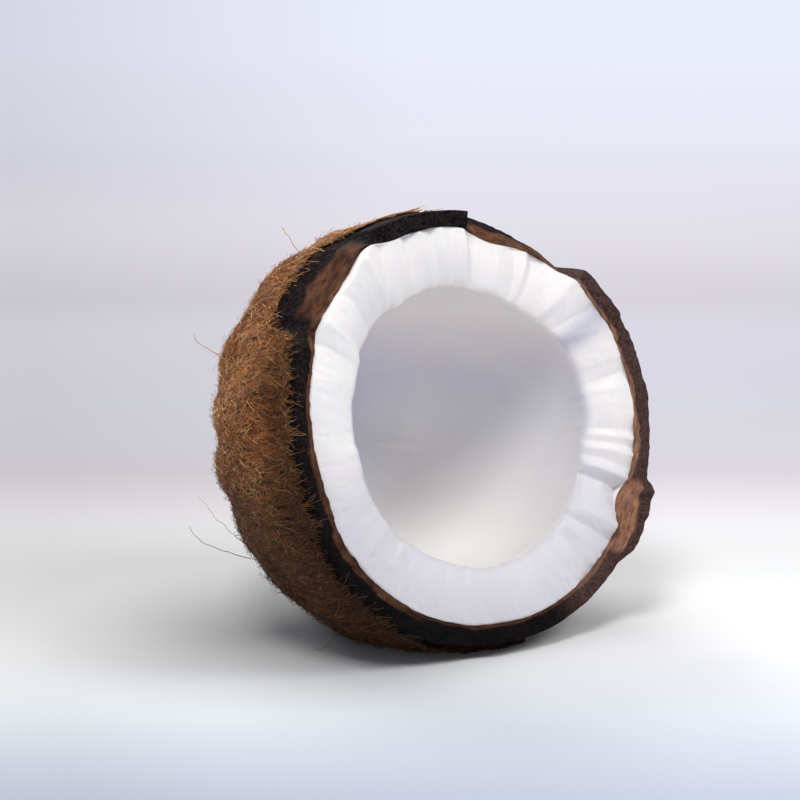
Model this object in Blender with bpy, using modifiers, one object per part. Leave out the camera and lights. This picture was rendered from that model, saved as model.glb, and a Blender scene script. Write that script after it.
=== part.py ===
"""Half of a ripe coconut, broken open round its middle and lying on its side.

Three layers that grew round one another make it: the husk, a coat of matted coir with loose wisps,
the shell, hard and dark with a chipped rim, and the meat, a thick white cup round the empty cavity.
The origin is the middle of the flat spot that the half rests on, and the opening looks along -Y.
"""

import math
import random
from collections import namedtuple

import bmesh
import bpy
import numpy as np

MM = 0.001

# How the half lies
LEAN = math.radians(15.5)  # the opening looks up by this much
SETTLE = 5.4 * MM  # how much of the round underside the flat spot takes away
FLAT_MIDDLE = 5.0 * MM  # the flat's middle, behind the lowest point of the round coir

# The nut and its layers, the floors being how low each layer reaches
NUT_RADIUS = 57.2 * MM  # of the coir, without its loose wisps
NUT_LENGTH = 65.4 * MM  # from the widest ring to the pole
BELLY = 11.0 * MM  # the widest ring is this far behind the rim
HUSK_WALL = 2.1 * MM
SHELL_WALL = 4.7 * MM
MEAT_WALL = 14.2 * MM
GAP = 0.4 * MM
HUSK_FLOOR = -0.3 * MM
SHELL_FLOOR = 1.9 * MM
MEAT_FLOOR = 6.7 * MM
CAVITY_FLOOR = -1.0
PRESS_ROUNDING = 1.2 * MM

# The broken rim: angles round the opening in degrees, 0 at the right and 90 at the top
Break = namedtuple("Break", "start stop ramp outer inner")
SPLINTER = (316, 333, 5)
RIM_BREAKS = (
    Break(117, 146, 8, -11.5 * MM, -1.8 * MM),  # broken corner with its wide face
    Break(47, 80, 4, -10.0 * MM, -2.8 * MM),  # sloping break at the upper right
    Break(86, 98, 5, 1.0 * MM, 0.4 * MM),  # crown
    Break(163, 199, 9, 1.4 * MM, 0.3 * MM),  # left lip
    Break(212, 256, 10, -2.2 * MM, -0.6 * MM),  # low edge
    Break(*SPLINTER, 4.2 * MM, -1.4 * MM),
)
SPLINTER_LIFT = 1.5 * MM  # how far the splinter is bent outwards
SPLINTER_LENGTH = 7.0 * MM
OUTER_EDGE_WAVES = ((5, 0.4, 0.25 * MM), (13, 1.9, 0.2 * MM), (29, 0.6, 0.15 * MM))
INNER_EDGE_WAVES = ((7, 2.0, 0.2 * MM), (19, 0.3, 0.15 * MM))
INNER_EDGE_BACK = 0.5 * MM
RIM_FACE_CROWN = 0.5 * MM
FLAT_SIDE = (62.0, 24.0, -2.0 * MM)  # middle, spread and radius of the flatter side
SHOULDER = (134.0, 20.0, 1.4 * MM)
HEEL = (270.0, 38.0, 138.0, 22.0, 4.2 * MM)  # the coir is thicker under the back of the half
HUSK_STEP = 4.4 * MM  # the coir ends this far behind the shell's outer edge
HUSK_JAG_WAVES = ((17, 0.5, 0.36 * MM), (31, 1.7, 0.54 * MM))
HUSK_EDGE_SLANT = 0.6 * MM  # how far the inner torn edge lies behind the outer one
HUSK_START = 0.9 * MM  # how far behind the torn edge the coir's surface starts
HUSK_LAP = (100.0, 226.0, 22.0, -3.1 * MM)  # but it comes nearer to that edge on the left
HUSK_EDGE_WALL = 0.9 * MM
HUSK_TAPER = 9.0 * MM  # over which the coir grows from its torn edge to its full thickness

# The white face between the shell and the cavity
MEAT_EDGE = -0.8 * MM
MEAT_EDGE_WAVES = ((9, 1.0, 0.25 * MM),)
MEAT_CROWN = 1.3 * MM
CAVITY_EDGE = -2.4 * MM
CAVITY_EDGE_WAVES = ((6, 0.2, 0.4 * MM),)
RECESS = (47, 80, 5)  # where the face stands back, behind the sloping break
RECESS_AT_SHELL = 2.4 * MM
RECESS_AT_CAVITY = 0.6 * MM
FACET = (124.0, 143.0, 8.0)  # flat fracture at the upper left
FACET_BACK = 3.6 * MM  # how far it leans back at the cavity
FACET_INSET = 3.2 * MM  # how much of the meat's outer corner it takes away
FACET_FADE = 9.0 * MM
FLUTE_DEPTH = 1.0 * MM
FLUTES = 22
FLUTED = (-62.0, 112.0, 14.0)

# The coir's relief and its loose wisps
COARSE_RELIEF = 0.6 * MM
FINE_RELIEF = 0.4 * MM
WISPS = 150
WISP_RADIUS = 0.45 * MM
WISP_CLEARANCE = 0.6 * MM  # of a wisp's middle over the ground
WISP_ROOT_DEPTH = 1.0 * MM
WISP_SEED = 7
WISP_LENGTHS = (5.0 * MM, 12.0 * MM)
WISP_TIPS = (0.9 * MM, 2.6 * MM)  # how far a wisp's end stands off the coir
WISP_LIFT = 0.35 * MM
WISP_SWING = 0.55
WISP_CURL = 0.9
WISP_SHARES = (0.0, 0.28, 0.64, 1.0)
WISP_GIRTHS = (1.0, 1.0, 0.8, 0.45)
STRAND_LIFT = 0.5 * MM
STRAND_BOW = 2.5 * MM
Strand = namedtuple("Strand", "turn angle reach")
LONG_STRANDS = (  # where each leaves the coir, and how far its tip lies to the right, back and up
    Strand(205.5, 105.0, (-13.2 * MM, 11.0 * MM, 7.4 * MM)),
    Strand(121.0, 101.0, (-2.2 * MM, 2.6 * MM, 5.2 * MM)),
    Strand(152.0, 112.0, (-5.4 * MM, 4.2 * MM, 5.6 * MM)),
    Strand(232.0, 100.0, (-6.2 * MM, 0.6 * MM, -3.2 * MM)),
    Strand(88.0, 118.0, (1.6 * MM, 7.0 * MM, 4.4 * MM)),
    Strand(8.0, 128.0, (6.2 * MM, 6.0 * MM, -2.6 * MM)),
    Strand(331.0, 112.0, (6.0 * MM, 4.6 * MM, -4.0 * MM)),
    Strand(60.0, 158.0, (3.2 * MM, 8.0 * MM, 2.0 * MM)),
    Strand(196.0, 160.0, (-5.0 * MM, 7.0 * MM, -2.4 * MM)),
)

# How finely the layers are faceted
STEPS = 72
DEEP_ROWS = (110, 124, 138, 152, 166, 180)  # degrees from the opening's axis
HUSK_ROWS = (110, 119, 128, 137, 146, 155, 164, 172, 180)
CAVITY_ROWS = (104, 119, 134, 149, 164, 180)
RIM_SHARES = (0.0, 0.18, 0.38, 0.58, 0.79)
FACE_SHARES = (0.3, 0.62, 0.87)

COIR_COLOUR = (104, 66, 38)
SHELL_COLOUR = (38, 28, 27)
MEAT_COLOUR = (236, 232, 228)
CRISP_ANGLE = math.radians(38)

RIGHT = np.array([1.0, 0.0, 0.0])
UP = np.array([0.0, math.sin(LEAN), math.cos(LEAN)])
OUT = np.array([0.0, -math.cos(LEAN), math.sin(LEAN)])

Layer = namedtuple("Layer", "radius length floor outer")


def layer(inset, floor, outer=False):
    """An egg-shaped surface this far inside the coir's, pressed up to stay over its floor."""
    return Layer(NUT_RADIUS - inset, NUT_LENGTH - inset, floor, outer)


HUSK_OUTSIDE = layer(0.0, HUSK_FLOOR, outer=True)
HUSK_INSIDE = layer(HUSK_WALL, SHELL_FLOOR, outer=True)
SHELL_OUTSIDE = layer(HUSK_WALL + GAP, SHELL_FLOOR + GAP, outer=True)
SHELL_INSIDE = layer(HUSK_WALL + GAP + SHELL_WALL, MEAT_FLOOR)
MEAT_OUTSIDE = layer(HUSK_WALL + SHELL_WALL + 2 * GAP, MEAT_FLOOR + GAP)
CAVITY = layer(HUSK_WALL + SHELL_WALL + MEAT_WALL + 2 * GAP, CAVITY_FLOOR)


def rim_middle():
    """The middle of the rim, from where the round coir's lowest point has to be."""
    fall = math.hypot(NUT_LENGTH * math.sin(LEAN), NUT_RADIUS * math.cos(LEAN))
    back = (NUT_LENGTH**2 - NUT_RADIUS**2) * math.sin(LEAN) * math.cos(LEAN) / fall
    egg_middle = np.array([0.0, -back - FLAT_MIDDLE, fall - SETTLE])
    return egg_middle + BELLY * OUT


RIM_MIDDLE = rim_middle()


def smooth(x):
    x = np.clip(x, 0.0, 1.0)
    return x * x * (3.0 - 2.0 * x)


def away(turn, middle):
    """Degrees between an angle round the rim and another, at most 180."""
    return np.abs((turn - middle + 180.0) % 360.0 - 180.0)


def plateau(turn, start, stop, ramp):
    """1 between two angles round the rim, falling smoothly to 0 over a ramp on both sides."""
    half = (stop - start) / 2.0
    return smooth((half + ramp - away(turn, start + half)) / ramp)


def bell(turn, middle, spread):
    return np.exp(-((away(turn, middle) / spread) ** 2))


def waves(turn, *terms):
    """A sum of sine waves round the rim, each given by its count, phase and height."""
    return sum(
        height * np.sin(np.radians(count * turn) + phase) for count, phase, height in terms
    )


def shell_edge(turn):
    """How far the shell's outer and inner edges stand in front of the rim's plane."""
    outer = waves(turn, *OUTER_EDGE_WAVES)
    inner = waves(turn, *INNER_EDGE_WAVES) - INNER_EDGE_BACK
    for chip in RIM_BREAKS:
        share = plateau(turn, chip.start, chip.stop, chip.ramp)
        outer = outer + share * chip.outer
        inner = inner + share * chip.inner
    return outer, inner


def husk_edge(turn):
    """The coir's torn edges, a step behind the shell's outer edge."""
    start, stop, ramp, nearer = HUSK_LAP
    step = HUSK_STEP + nearer * plateau(turn, start, stop, ramp)
    edge = shell_edge(turn)[0] - step + waves(turn, *HUSK_JAG_WAVES)
    return edge - HUSK_EDGE_SLANT, edge


def meat_edges(turn):
    """Where the white face starts at the shell and ends at the cavity."""
    at_shell = MEAT_EDGE + waves(turn, *MEAT_EDGE_WAVES)
    at_cavity = CAVITY_EDGE - FACET_BACK * plateau(turn, *FACET) + waves(turn, *CAVITY_EDGE_WAVES)
    recess = plateau(turn, *RECESS)
    return at_shell - RECESS_AT_SHELL * recess, at_cavity - RECESS_AT_CAVITY * recess


def reach(surface, turn, angle):
    """Radius and distance along the opening's axis at an angle from that axis, in degrees."""
    lean = np.radians(angle)
    along = surface.length * np.cos(lean) - BELLY
    radius = surface.radius + FLAT_SIDE[2] * bell(turn, *FLAT_SIDE[:2])
    if surface.outer:
        lift = plateau(turn, *SPLINTER) * smooth(1.0 + along / SPLINTER_LENGTH)
        radius = radius + SHOULDER[2] * bell(turn, *SHOULDER[:2]) + SPLINTER_LIFT * lift
    return radius * np.sin(lean), along


def world(turn, radius, along):
    """Points given round, out from and along the opening's axis."""
    turn = np.radians(turn)
    return (
        RIM_MIDDLE
        + np.multiply.outer(radius * np.cos(turn), RIGHT)
        + np.multiply.outer(radius * np.sin(turn), UP)
        + np.multiply.outer(along, OUT)
    )


def pressed(points, floor):
    """The points with those near or below a floor eased up on to it."""
    height = points[..., 2]
    points = points.copy()
    points[..., 2] = (
        height + floor + np.sqrt((height - floor) ** 2 + PRESS_ROUNDING**2)
    ) / 2.0
    return points


def coir_relief(turn, angle):
    """Height of the matted strands, which run from the pole to the rim."""
    sway = 0.5 * np.sin(np.radians(3 * angle)) + 0.3 * np.sin(np.radians(2 * turn))
    fine = np.sin(np.radians(18 * turn) + 2.3 * sway + 0.4)
    coarse = np.sin(np.radians(11 * turn) + 1.7 * np.sin(np.radians(5 * angle)))
    lumps = np.sin(np.radians(7 * angle + 2 * turn)) * np.sin(np.radians(5 * turn) + 1.0)
    fade = smooth((180.0 - angle) / 24.0)
    return fade * (FINE_RELIEF * fine + COARSE_RELIEF * (coarse + lumps) / 2.0)


def on_surface(surface, turn, angle, raised=0.0):
    radius, along = reach(surface, turn, angle)
    lean = np.radians(angle)
    points = world(turn, radius + raised * np.sin(lean), along + raised * np.cos(lean))
    return pressed(points, surface.floor)


def on_coir(turn, angle, raised=0.0):
    """Points on the outside of the husk or over it, none below the flat spot."""
    behind = husk_edge(turn)[1] - reach(HUSK_OUTSIDE, turn, angle)[1]
    thin = (HUSK_WALL - HUSK_EDGE_WALL) * (1.0 - smooth(behind / HUSK_TAPER))
    relief = coir_relief(turn, angle) * smooth(behind / HUSK_TAPER)
    under = (away(turn, HEEL[0]) / HEEL[1]) ** 2 + ((angle - HEEL[2]) / HEEL[3]) ** 2
    relief = relief + HEEL[4] * np.exp(-under)
    points = on_surface(HUSK_OUTSIDE, turn, angle, relief - thin + raised)
    points[..., 2] = np.maximum(points[..., 2], 0.0)
    return points


def edge_angle(surface, along):
    """Angle from the opening's axis at which a surface comes this far forward."""
    return np.degrees(np.arccos(np.clip((along + BELLY) / surface.length, -1.0, 1.0)))


def cup_rows(place, surface, turn, edge, deep_rows):
    """Rings of points from a layer's broken edge to its pole."""
    first = edge_angle(surface, edge)
    rim = [first + share * (deep_rows[0] - first) for share in RIM_SHARES]
    deep = [np.full(turn.shape, float(angle)) for angle in deep_rows]
    return [place(turn, angle) for angle in rim + deep]


def layer_rows(surface, turn, edge, deep_rows):
    def place(at, angle):
        return on_surface(surface, at, angle)

    return cup_rows(place, surface, turn, edge, deep_rows)


def husk_rows(turn):
    inner_edge, outer_edge = husk_edge(turn)
    inside = layer_rows(HUSK_INSIDE, turn, inner_edge, DEEP_ROWS)
    outside = cup_rows(on_coir, HUSK_OUTSIDE, turn, outer_edge - HUSK_START, HUSK_ROWS)
    return inside[::-1] + outside


def shell_rows(turn):
    outer_edge, inner_edge = shell_edge(turn)
    inside = layer_rows(SHELL_INSIDE, turn, inner_edge, DEEP_ROWS)
    outside = layer_rows(SHELL_OUTSIDE, turn, outer_edge, DEEP_ROWS)
    return inside[::-1] + [(inside[0] + outside[0]) / 2.0 + RIM_FACE_CROWN * OUT] + outside


def meat_rows(turn):
    at_shell, at_cavity = meat_edges(turn)

    def cornered(at, angle):
        behind = at_shell - reach(MEAT_OUTSIDE, at, angle)[1]
        inset = FACET_INSET * plateau(at, *FACET) * (1.0 - smooth(behind / FACET_FADE))
        return on_surface(MEAT_OUTSIDE, at, angle, -inset)

    outside = cup_rows(cornered, MEAT_OUTSIDE, turn, at_shell, DEEP_ROWS)
    inside = layer_rows(CAVITY, turn, at_cavity, CAVITY_ROWS)
    flutes = plateau(turn, *FLUTED) * FLUTE_DEPTH * np.sin(np.radians(FLUTES * turn))
    face = []
    for share in FACE_SHARES:
        raised = 4 * share * (1 - share) * MEAT_CROWN + (1 - share) * flutes
        between = outside[0] * (1 - share) + inside[0] * share
        face.append(between + np.multiply.outer(raised, OUT))
    return inside[::-1] + face[::-1] + outside


def mesh_of(obj):
    graph = bpy.context.evaluated_depsgraph_get()
    return bpy.data.meshes.new_from_object(obj.evaluated_get(graph))


def turned_cup(name, rows_of, collection):
    """A closed cup: a profile turned by a Screw, with each ring then moved to its layer's shape."""
    turn = np.arange(STEPS) * 360.0 / STEPS
    rows = np.array(rows_of(turn))
    first = rows[:, 0] - RIM_MIDDLE
    profile = bpy.data.meshes.new(name + "_profile")
    profile.from_pydata(
        [(math.hypot(p @ RIGHT, p @ UP), 0.0, p @ OUT) for p in first],
        [(i, i + 1) for i in range(len(rows) - 1)],
        [],
    )
    obj = bpy.data.objects.new(name, profile)
    collection.objects.link(obj)
    screw = obj.modifiers.new("turn", "SCREW")
    screw.steps = screw.render_steps = STEPS
    screw.use_merge_vertices = False
    cup = mesh_of(obj)
    obj.modifiers.clear()
    obj.data = cup
    cup.name = name
    cup.vertices.foreach_set("co", rows.transpose(1, 0, 2).ravel())
    poles = bmesh.new()
    poles.from_mesh(cup)
    bmesh.ops.remove_doubles(poles, verts=poles.verts, dist=1e-6)
    bmesh.ops.recalc_face_normals(poles, faces=poles.faces)
    poles.to_mesh(cup)
    poles.free()
    return obj


def coir_start(turn):
    """Angle from the opening's axis at which the coir starts."""
    return edge_angle(HUSK_OUTSIDE, husk_edge(turn)[1] - HUSK_START)


def wisp_path(turn, angle, draw):
    """A root in the coir, a run close over it and a tip that curls away."""
    length = draw.uniform(*WISP_LENGTHS)
    heading = draw.gauss(0.0, WISP_SWING)
    curl = draw.uniform(-WISP_CURL, WISP_CURL)
    tip = draw.uniform(*WISP_TIPS)
    heights = (-WISP_ROOT_DEPTH, WISP_LIFT, 0.45 * tip, tip)
    path = []
    for share, height in zip(WISP_SHARES, heights):
        along = -math.degrees(share * length * math.cos(heading) / NUT_LENGTH)
        across = math.degrees(share * length * math.sin(heading + curl * share) / NUT_RADIUS)
        at = turn + across / math.sin(math.radians(angle))
        path.append(on_coir(at, max(angle + along, coir_start(at)), height))
    return path


def strand_path(strand):
    """A long loose strand, rooted in the coir and bowed towards its tip."""
    root = on_coir(strand.turn, strand.angle, -WISP_ROOT_DEPTH)
    start = on_coir(strand.turn, strand.angle, STRAND_LIFT)
    tip = start + np.array(strand.reach)
    bow = on_coir(strand.turn, strand.angle, STRAND_BOW) - start
    return [root, start, (start + tip) / 2.0 + bow, tip]


def wisp_places():
    """Even places over the whole coir, each with its own draw."""
    draw = random.Random(WISP_SEED)
    golden = 180.0 * (3.0 - math.sqrt(5.0))
    for i in range(WISPS):
        share = (i + 0.5) / WISPS
        angle = math.degrees(math.acos(0.02 - 0.96 * share))
        turn = (i * golden) % 360.0
        angle = max(angle, coir_start(turn) + 4.0)
        root = on_coir(turn, angle)
        if root[2] > 2.0 * MM:
            yield wisp_path(turn, angle, draw)
    yield from map(strand_path, LONG_STRANDS)


def wisps(collection, guides):
    """Three-sided tapered tubes, one for each wisp."""
    section = bpy.data.curves.new("wisp_section", "CURVE")
    section.dimensions = "2D"
    spline = section.splines.new("POLY")
    spline.points.add(2)
    spline.use_cyclic_u = True
    for point, angle in zip(spline.points, (90, 210, 330)):
        lean = math.radians(angle)
        point.co = (WISP_RADIUS * math.cos(lean), WISP_RADIUS * math.sin(lean), 0.0, 1.0)
    guide = bpy.data.objects.new("wisp_section", section)
    guide.hide_render = True
    guide.display_type = "WIRE"
    guides.objects.link(guide)
    for path in wisp_places():
        curve = bpy.data.curves.new("wisp", "CURVE")
        curve.dimensions = "3D"
        curve.bevel_mode = "OBJECT"
        curve.bevel_object = guide
        curve.use_fill_caps = True
        strand = curve.splines.new("POLY")
        strand.points.add(len(path) - 1)
        for point, place, girth in zip(strand.points, path, WISP_GIRTHS):
            point.co = (*place[:2], max(place[2], WISP_CLEARANCE), 1.0)
            point.radius = girth
        source = bpy.data.objects.new("wisp_curve", curve)
        collection.objects.link(source)
        tube = bpy.data.objects.new("wisp", mesh_of(source))
        collection.objects.link(tube)
        bpy.data.objects.remove(source)
        welded = bmesh.new()
        welded.from_mesh(tube.data)
        bmesh.ops.remove_doubles(welded, verts=welded.verts, dist=1e-6)
        bmesh.ops.recalc_face_normals(welded, faces=welded.faces)
        welded.to_mesh(tube.data)
        welded.free()


def fuse(obj, collection):
    """Joins every shape of a collection to an object and removes the collection's objects."""
    union = obj.modifiers.new("fuse", "BOOLEAN")
    union.operation = "UNION"
    union.operand_type = "COLLECTION"
    union.collection = collection
    union.solver = "EXACT"
    bpy.context.view_layer.update()
    joined = mesh_of(obj)
    obj.modifiers.clear()
    obj.data = joined
    for extra in list(collection.objects):
        bpy.data.objects.remove(extra)


def linear(value):
    value /= 255.0
    return value / 12.92 if value <= 0.04045 else ((value + 0.055) / 1.055) ** 2.4


def finish(obj, name, colour, roughness):
    """Gives an object its own material and smooth shading with crisp breaks."""
    material = bpy.data.materials.new(name)
    material.use_nodes = True
    shader = material.node_tree.nodes["Principled BSDF"]
    shader.inputs["Base Color"].default_value = (*(linear(c) for c in colour), 1.0)
    shader.inputs["Roughness"].default_value = roughness
    obj.data.materials.clear()
    obj.data.materials.append(material)
    obj.data.shade_smooth()
    obj.data.set_sharp_from_angle(angle=CRISP_ANGLE)


def collection_named(name):
    collection = bpy.data.collections.new(name)
    bpy.context.scene.collection.children.link(collection)
    return collection


def main():
    for obj in list(bpy.data.objects):
        bpy.data.objects.remove(obj)
    parts = collection_named("coconut_half")
    guides = collection_named("guides")
    loose = collection_named("loose_wisps")

    husk = turned_cup("husk", husk_rows, parts)
    wisps(loose, guides)
    fuse(husk, loose)
    finish(husk, "coir", COIR_COLOUR, 0.9)

    shell = turned_cup("shell", shell_rows, parts)
    finish(shell, "dark_shell", SHELL_COLOUR, 0.55)

    meat = turned_cup("meat", meat_rows, parts)
    finish(meat, "white_meat", MEAT_COLOUR, 0.4)


main()
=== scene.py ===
"""The finished look of the coconut half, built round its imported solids.

Finer pieces stand for the three packed layers: the coir coat, the shell with its broken rim and the
white meat. Geometry Nodes grow the coir's loose fibres from the coat. Angles round the rim are in
degrees, 0 at the right and 90 at the top, and the origin is the middle of the flat spot underneath.
"""

import math
from collections import namedtuple

import bmesh
import bpy
import numpy as np
from bpy.props import FloatProperty, FloatVectorProperty, PointerProperty
from bpy.types import Operator, Panel, PropertyGroup
from mathutils import Matrix, Vector

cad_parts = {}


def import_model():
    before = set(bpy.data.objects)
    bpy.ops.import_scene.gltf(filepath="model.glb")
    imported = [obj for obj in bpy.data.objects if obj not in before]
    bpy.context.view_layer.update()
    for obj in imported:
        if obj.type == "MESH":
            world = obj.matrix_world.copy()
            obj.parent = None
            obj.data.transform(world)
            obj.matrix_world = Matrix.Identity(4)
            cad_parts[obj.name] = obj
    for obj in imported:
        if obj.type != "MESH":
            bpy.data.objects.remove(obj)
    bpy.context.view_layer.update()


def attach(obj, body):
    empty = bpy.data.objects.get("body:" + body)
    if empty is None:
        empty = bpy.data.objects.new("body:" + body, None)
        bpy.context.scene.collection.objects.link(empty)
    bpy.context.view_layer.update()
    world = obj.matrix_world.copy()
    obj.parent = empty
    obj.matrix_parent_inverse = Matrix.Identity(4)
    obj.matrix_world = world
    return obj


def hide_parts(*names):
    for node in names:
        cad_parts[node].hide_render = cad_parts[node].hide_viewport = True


bl_info = {
    "name": "Coconut Half",
    "version": (1, 0, 0),
    "blender": (4, 5, 0),
    "location": "3D View > Sidebar > Coconut",
    "description": "Builds half a broken coconut with its coir, shell and meat",
    "category": "Add Mesh",
}

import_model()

MM = 0.001

# How the half lies
LEAN = math.radians(15.5)
SETTLE = 5.4 * MM
FLAT_MIDDLE = 5.0 * MM

# The nut and its layers
NUT_RADIUS = 57.2 * MM
NUT_LENGTH = 65.4 * MM
BELLY = 11.0 * MM
HUSK_WALL = 2.1 * MM
SHELL_WALL = 4.7 * MM
MEAT_WALL = 14.2 * MM
GAP = 0.4 * MM
PRESS_ROUNDING = 1.2 * MM
HEIGHT = 110.0 * MM

# The broken rim: between which angles it stands forward or back, at its outer and inner edge
Break = namedtuple("Break", "start stop ramp outer inner")
SPLINTER = (316, 333, 5)
RIM_BREAKS = (
    Break(117, 146, 8, -11.5 * MM, -1.8 * MM),
    Break(43.5, 80, 4, -10.0 * MM, -2.8 * MM),
    Break(86, 98, 5, 1.0 * MM, 0.4 * MM),
    Break(163, 199, 9, 1.4 * MM, 0.3 * MM),
    Break(212, 256, 10, -2.2 * MM, -0.6 * MM),
    Break(*SPLINTER, 4.2 * MM, -1.4 * MM),
)
OUTER_EDGE_WAVES = ((5, 0.4, 0.25 * MM), (13, 1.9, 0.2 * MM), (29, 0.6, 0.15 * MM))
INNER_EDGE_WAVES = ((7, 2.0, 0.2 * MM), (19, 0.3, 0.15 * MM))
INNER_EDGE_BACK = 0.5 * MM
RIM_FACE_CROWN = 0.5 * MM
SPLINTER_LIFT = 0.4 * MM
SPLINTER_LENGTH = 7.0 * MM

# Higher and lower places of the round: the middle and spread of each, and its height
FLAT_SIDE = (62.0, 24.0, -2.0 * MM)
SHOULDER = (134.0, 20.0, 1.4 * MM)
HEEL = (270.0, 38.0, 138.0, 22.0, 4.2 * MM)
# The lowered top of the rim: angles, ramp and depth, and the angles that it fades out over
CROWN = (84.5, 117.0, 6.0, 0.8 * MM)
CROWN_BACK, CROWN_FADE = 150.0, 40.0

# The coir's torn edge, which lies a step behind the shell's and comes nearer on the left
HUSK_STEP = 4.4 * MM
HUSK_LAP = (100.0, 226.0, 22.0, -3.1 * MM)
HUSK_JAG_WAVES = ((17, 0.5, 0.36 * MM), (31, 1.7, 0.54 * MM))
HUSK_EDGE_SLANT = 0.6 * MM
HUSK_START = 0.9 * MM
HUSK_EDGE_WALL = 0.9 * MM
HUSK_TAPER = 9.0 * MM
COARSE_RELIEF = 0.6 * MM
FINE_RELIEF = 0.4 * MM

# Where the coat is worn thin towards the rim: angles, its wall there and how far that reaches back
WORN_SIDE = (-75.0, 108.0, 9.0)
WORN_BACK = 9.0 * MM
WORN_WALL = 0.1 * MM
WORN_TAPER = 26.0 * MM
# What wear takes from the relief, from the fibres' number and from how loose they are
WORN_RELIEF, WORN_COVER, WORN_LOOSE = 0.9, 0.2, 0.6
COAT_LOWERED = 0.7 * MM
COAT_LOWERED_OVER = 4.0 * MM

# The meat's edges at the shell and at the cavity, and its face between them
MEAT_EDGE = -0.8 * MM
MEAT_EDGE_WAVES = ((9, 1.0, 0.25 * MM),)
MEAT_CROWN = 1.3 * MM
CAVITY_EDGE = -2.4 * MM
CAVITY_EDGE_WAVES = ((6, 0.2, 0.4 * MM),)
# A flat fracture at the upper left, and the face set back behind the break at the upper right
FACET = (124.0, 143.0, 8.0)
FACET_BACK = 3.6 * MM
FACET_FADE = 9.0 * MM
RECESS = (47, 80, 5)
RECESS_AT_SHELL = 2.4 * MM
RECESS_AT_CAVITY = 0.6 * MM

# How far the meat's edge and the shell's inner edge lie inside their round: at which angle, over
# what spread and how far
Shift = namedtuple("Shift", "turn spread inward")
EDGE_SHIFTS = (
    Shift(118.5, 5.5, -2.5 * MM),
    Shift(133.0, 7.0, 0.5 * MM),
    Shift(183.0, 17.0, 1.7 * MM),
    Shift(328.5, 7.0, 2.9 * MM),
    Shift(73.0, 9.0, 1.9 * MM),
)

# Ridges and valleys of the white face: the angles where each starts at the shell and ends at the
# cavity, and how far it is raised at the shell, halfway and at the cavity
Crease = namedtuple("Crease", "outer inner raised_outer raised_middle raised_inner")
MEAT_CREASES = (
    Crease(5.0, 5.0, 0.3, 0.5, 0.3),
    Crease(9.5, 9.5, -0.9, -0.5, 0.1),
    Crease(13.0, 15.0, 0.4, 0.7, 0.5),
    Crease(22.9, 28.8, 0.9, 1.1, 0.9),
    Crease(30.0, 36.0, -0.5, -0.4, 0.2),
    Crease(40.8, 44.0, 1.2, 1.0, 0.4),
    Crease(56.5, 55.5, -1.2, -0.3, 0.2),
    Crease(59.8, 58.9, 0.8, 0.6, 0.3),
    Crease(63.5, 61.5, -0.9, -0.2, 0.1),
    Crease(69.0, 69.0, 0.5, 0.5, 0.2),
    Crease(77.0, 76.0, 0.1, 0.0, -0.1),
    Crease(82.7, 82.3, -0.8, -0.5, -0.3),
    Crease(85.1, 84.9, 0.7, 0.7, 0.3),
    Crease(89.2, 89.0, -0.1, 0.1, 0.0),
    Crease(93.1, 92.6, 0.9, 0.9, 0.5),
    Crease(97.0, 96.6, -0.3, 0.0, -0.1),
    Crease(100.2, 100.2, 0.8, 0.8, 0.4),
    Crease(104.7, 107.5, -1.2, -0.9, -0.5),
    Crease(108.0, 112.0, 0.9, 0.7, 0.3),
    Crease(114.5, 119.0, -0.9, -1.4, -0.9),
    Crease(122.3, 123.8, 2.4, 2.7, 1.3),
    Crease(133.0, 134.5, 0.2, 0.7, 0.6),
    Crease(143.5, 145.2, 1.3, 1.7, 1.2),
    Crease(150.0, 150.0, -0.7, -0.2, 0.1),
    Crease(161.0, 158.0, 0.5, 0.4, 0.2),
    Crease(176.0, 176.0, 0.1, 0.2, 0.1),
    Crease(198.6, 199.6, -0.2, -0.1, 0.0),
    Crease(214.0, 214.0, 0.3, 0.3, 0.1),
    Crease(240.0, 238.0, -0.1, 0.1, 0.0),
    Crease(262.0, 262.0, 0.3, 0.3, 0.2),
    Crease(286.0, 284.0, -0.1, 0.1, 0.1),
    Crease(296.0, 299.0, 0.5, 0.5, 0.2),
    Crease(303.0, 304.0, -0.3, 0.0, 0.1),
    Crease(309.0, 308.0, 0.5, 0.4, 0.2),
    Crease(315.0, 312.0, -0.4, 0.0, 0.1),
    Crease(319.3, 316.5, 1.5, 1.2, 0.3),
    Crease(326.9, 325.0, -0.3, 0.2, 0.2),
    Crease(331.5, 332.5, -2.2, -1.4, -0.6),
    Crease(335.0, 336.0, 0.7, 0.8, 0.4),
    Crease(338.5, 339.5, -0.6, -0.1, 0.0),
    Crease(342.9, 343.2, 0.6, 0.7, 0.4),
    Crease(345.6, 346.4, -0.5, -0.1, 0.0),
    Crease(348.0, 348.8, 0.5, 0.6, 0.3),
    Crease(350.9, 351.4, -0.5, -0.1, 0.0),
    Crease(355.6, 355.8, 0.6, 0.6, 0.3),
)
CREASE_STRENGTH = 1.25

# Painted shade on the white face: a stretch of its lower side, and one facet at the upper right
PAINTED_SHADE_LOW = (205.0, 325.0, 30.0)
PAINTED_SHADE_LOW_SHARE = 0.6
PAINTED_SHADE_HIGH = (28.0, 5.0)
# The cavity's edge is rounded, most of all at the lower left
CAVITY_ROUNDING = 1.6 * MM
CAVITY_ROUNDED_FROM = 0.84
ROUNDED_SIDE = (215, 300, 25)
ROUNDED_LEAST = 0.35
# Where the broken face gets moist towards the cavity, as shares of the way to it
WET_FROM, WET_SPAN = 0.86, 0.14
# Where the cavity's painted shade and light change: start and span to the right, and twice upwards
CAVITY_ACROSS = (-25.0 * MM, 40.0 * MM)
CAVITY_LOWER = (20.0 * MM, 50.0 * MM)
CAVITY_UPPER = (58.0 * MM, 20.0 * MM)

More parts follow.
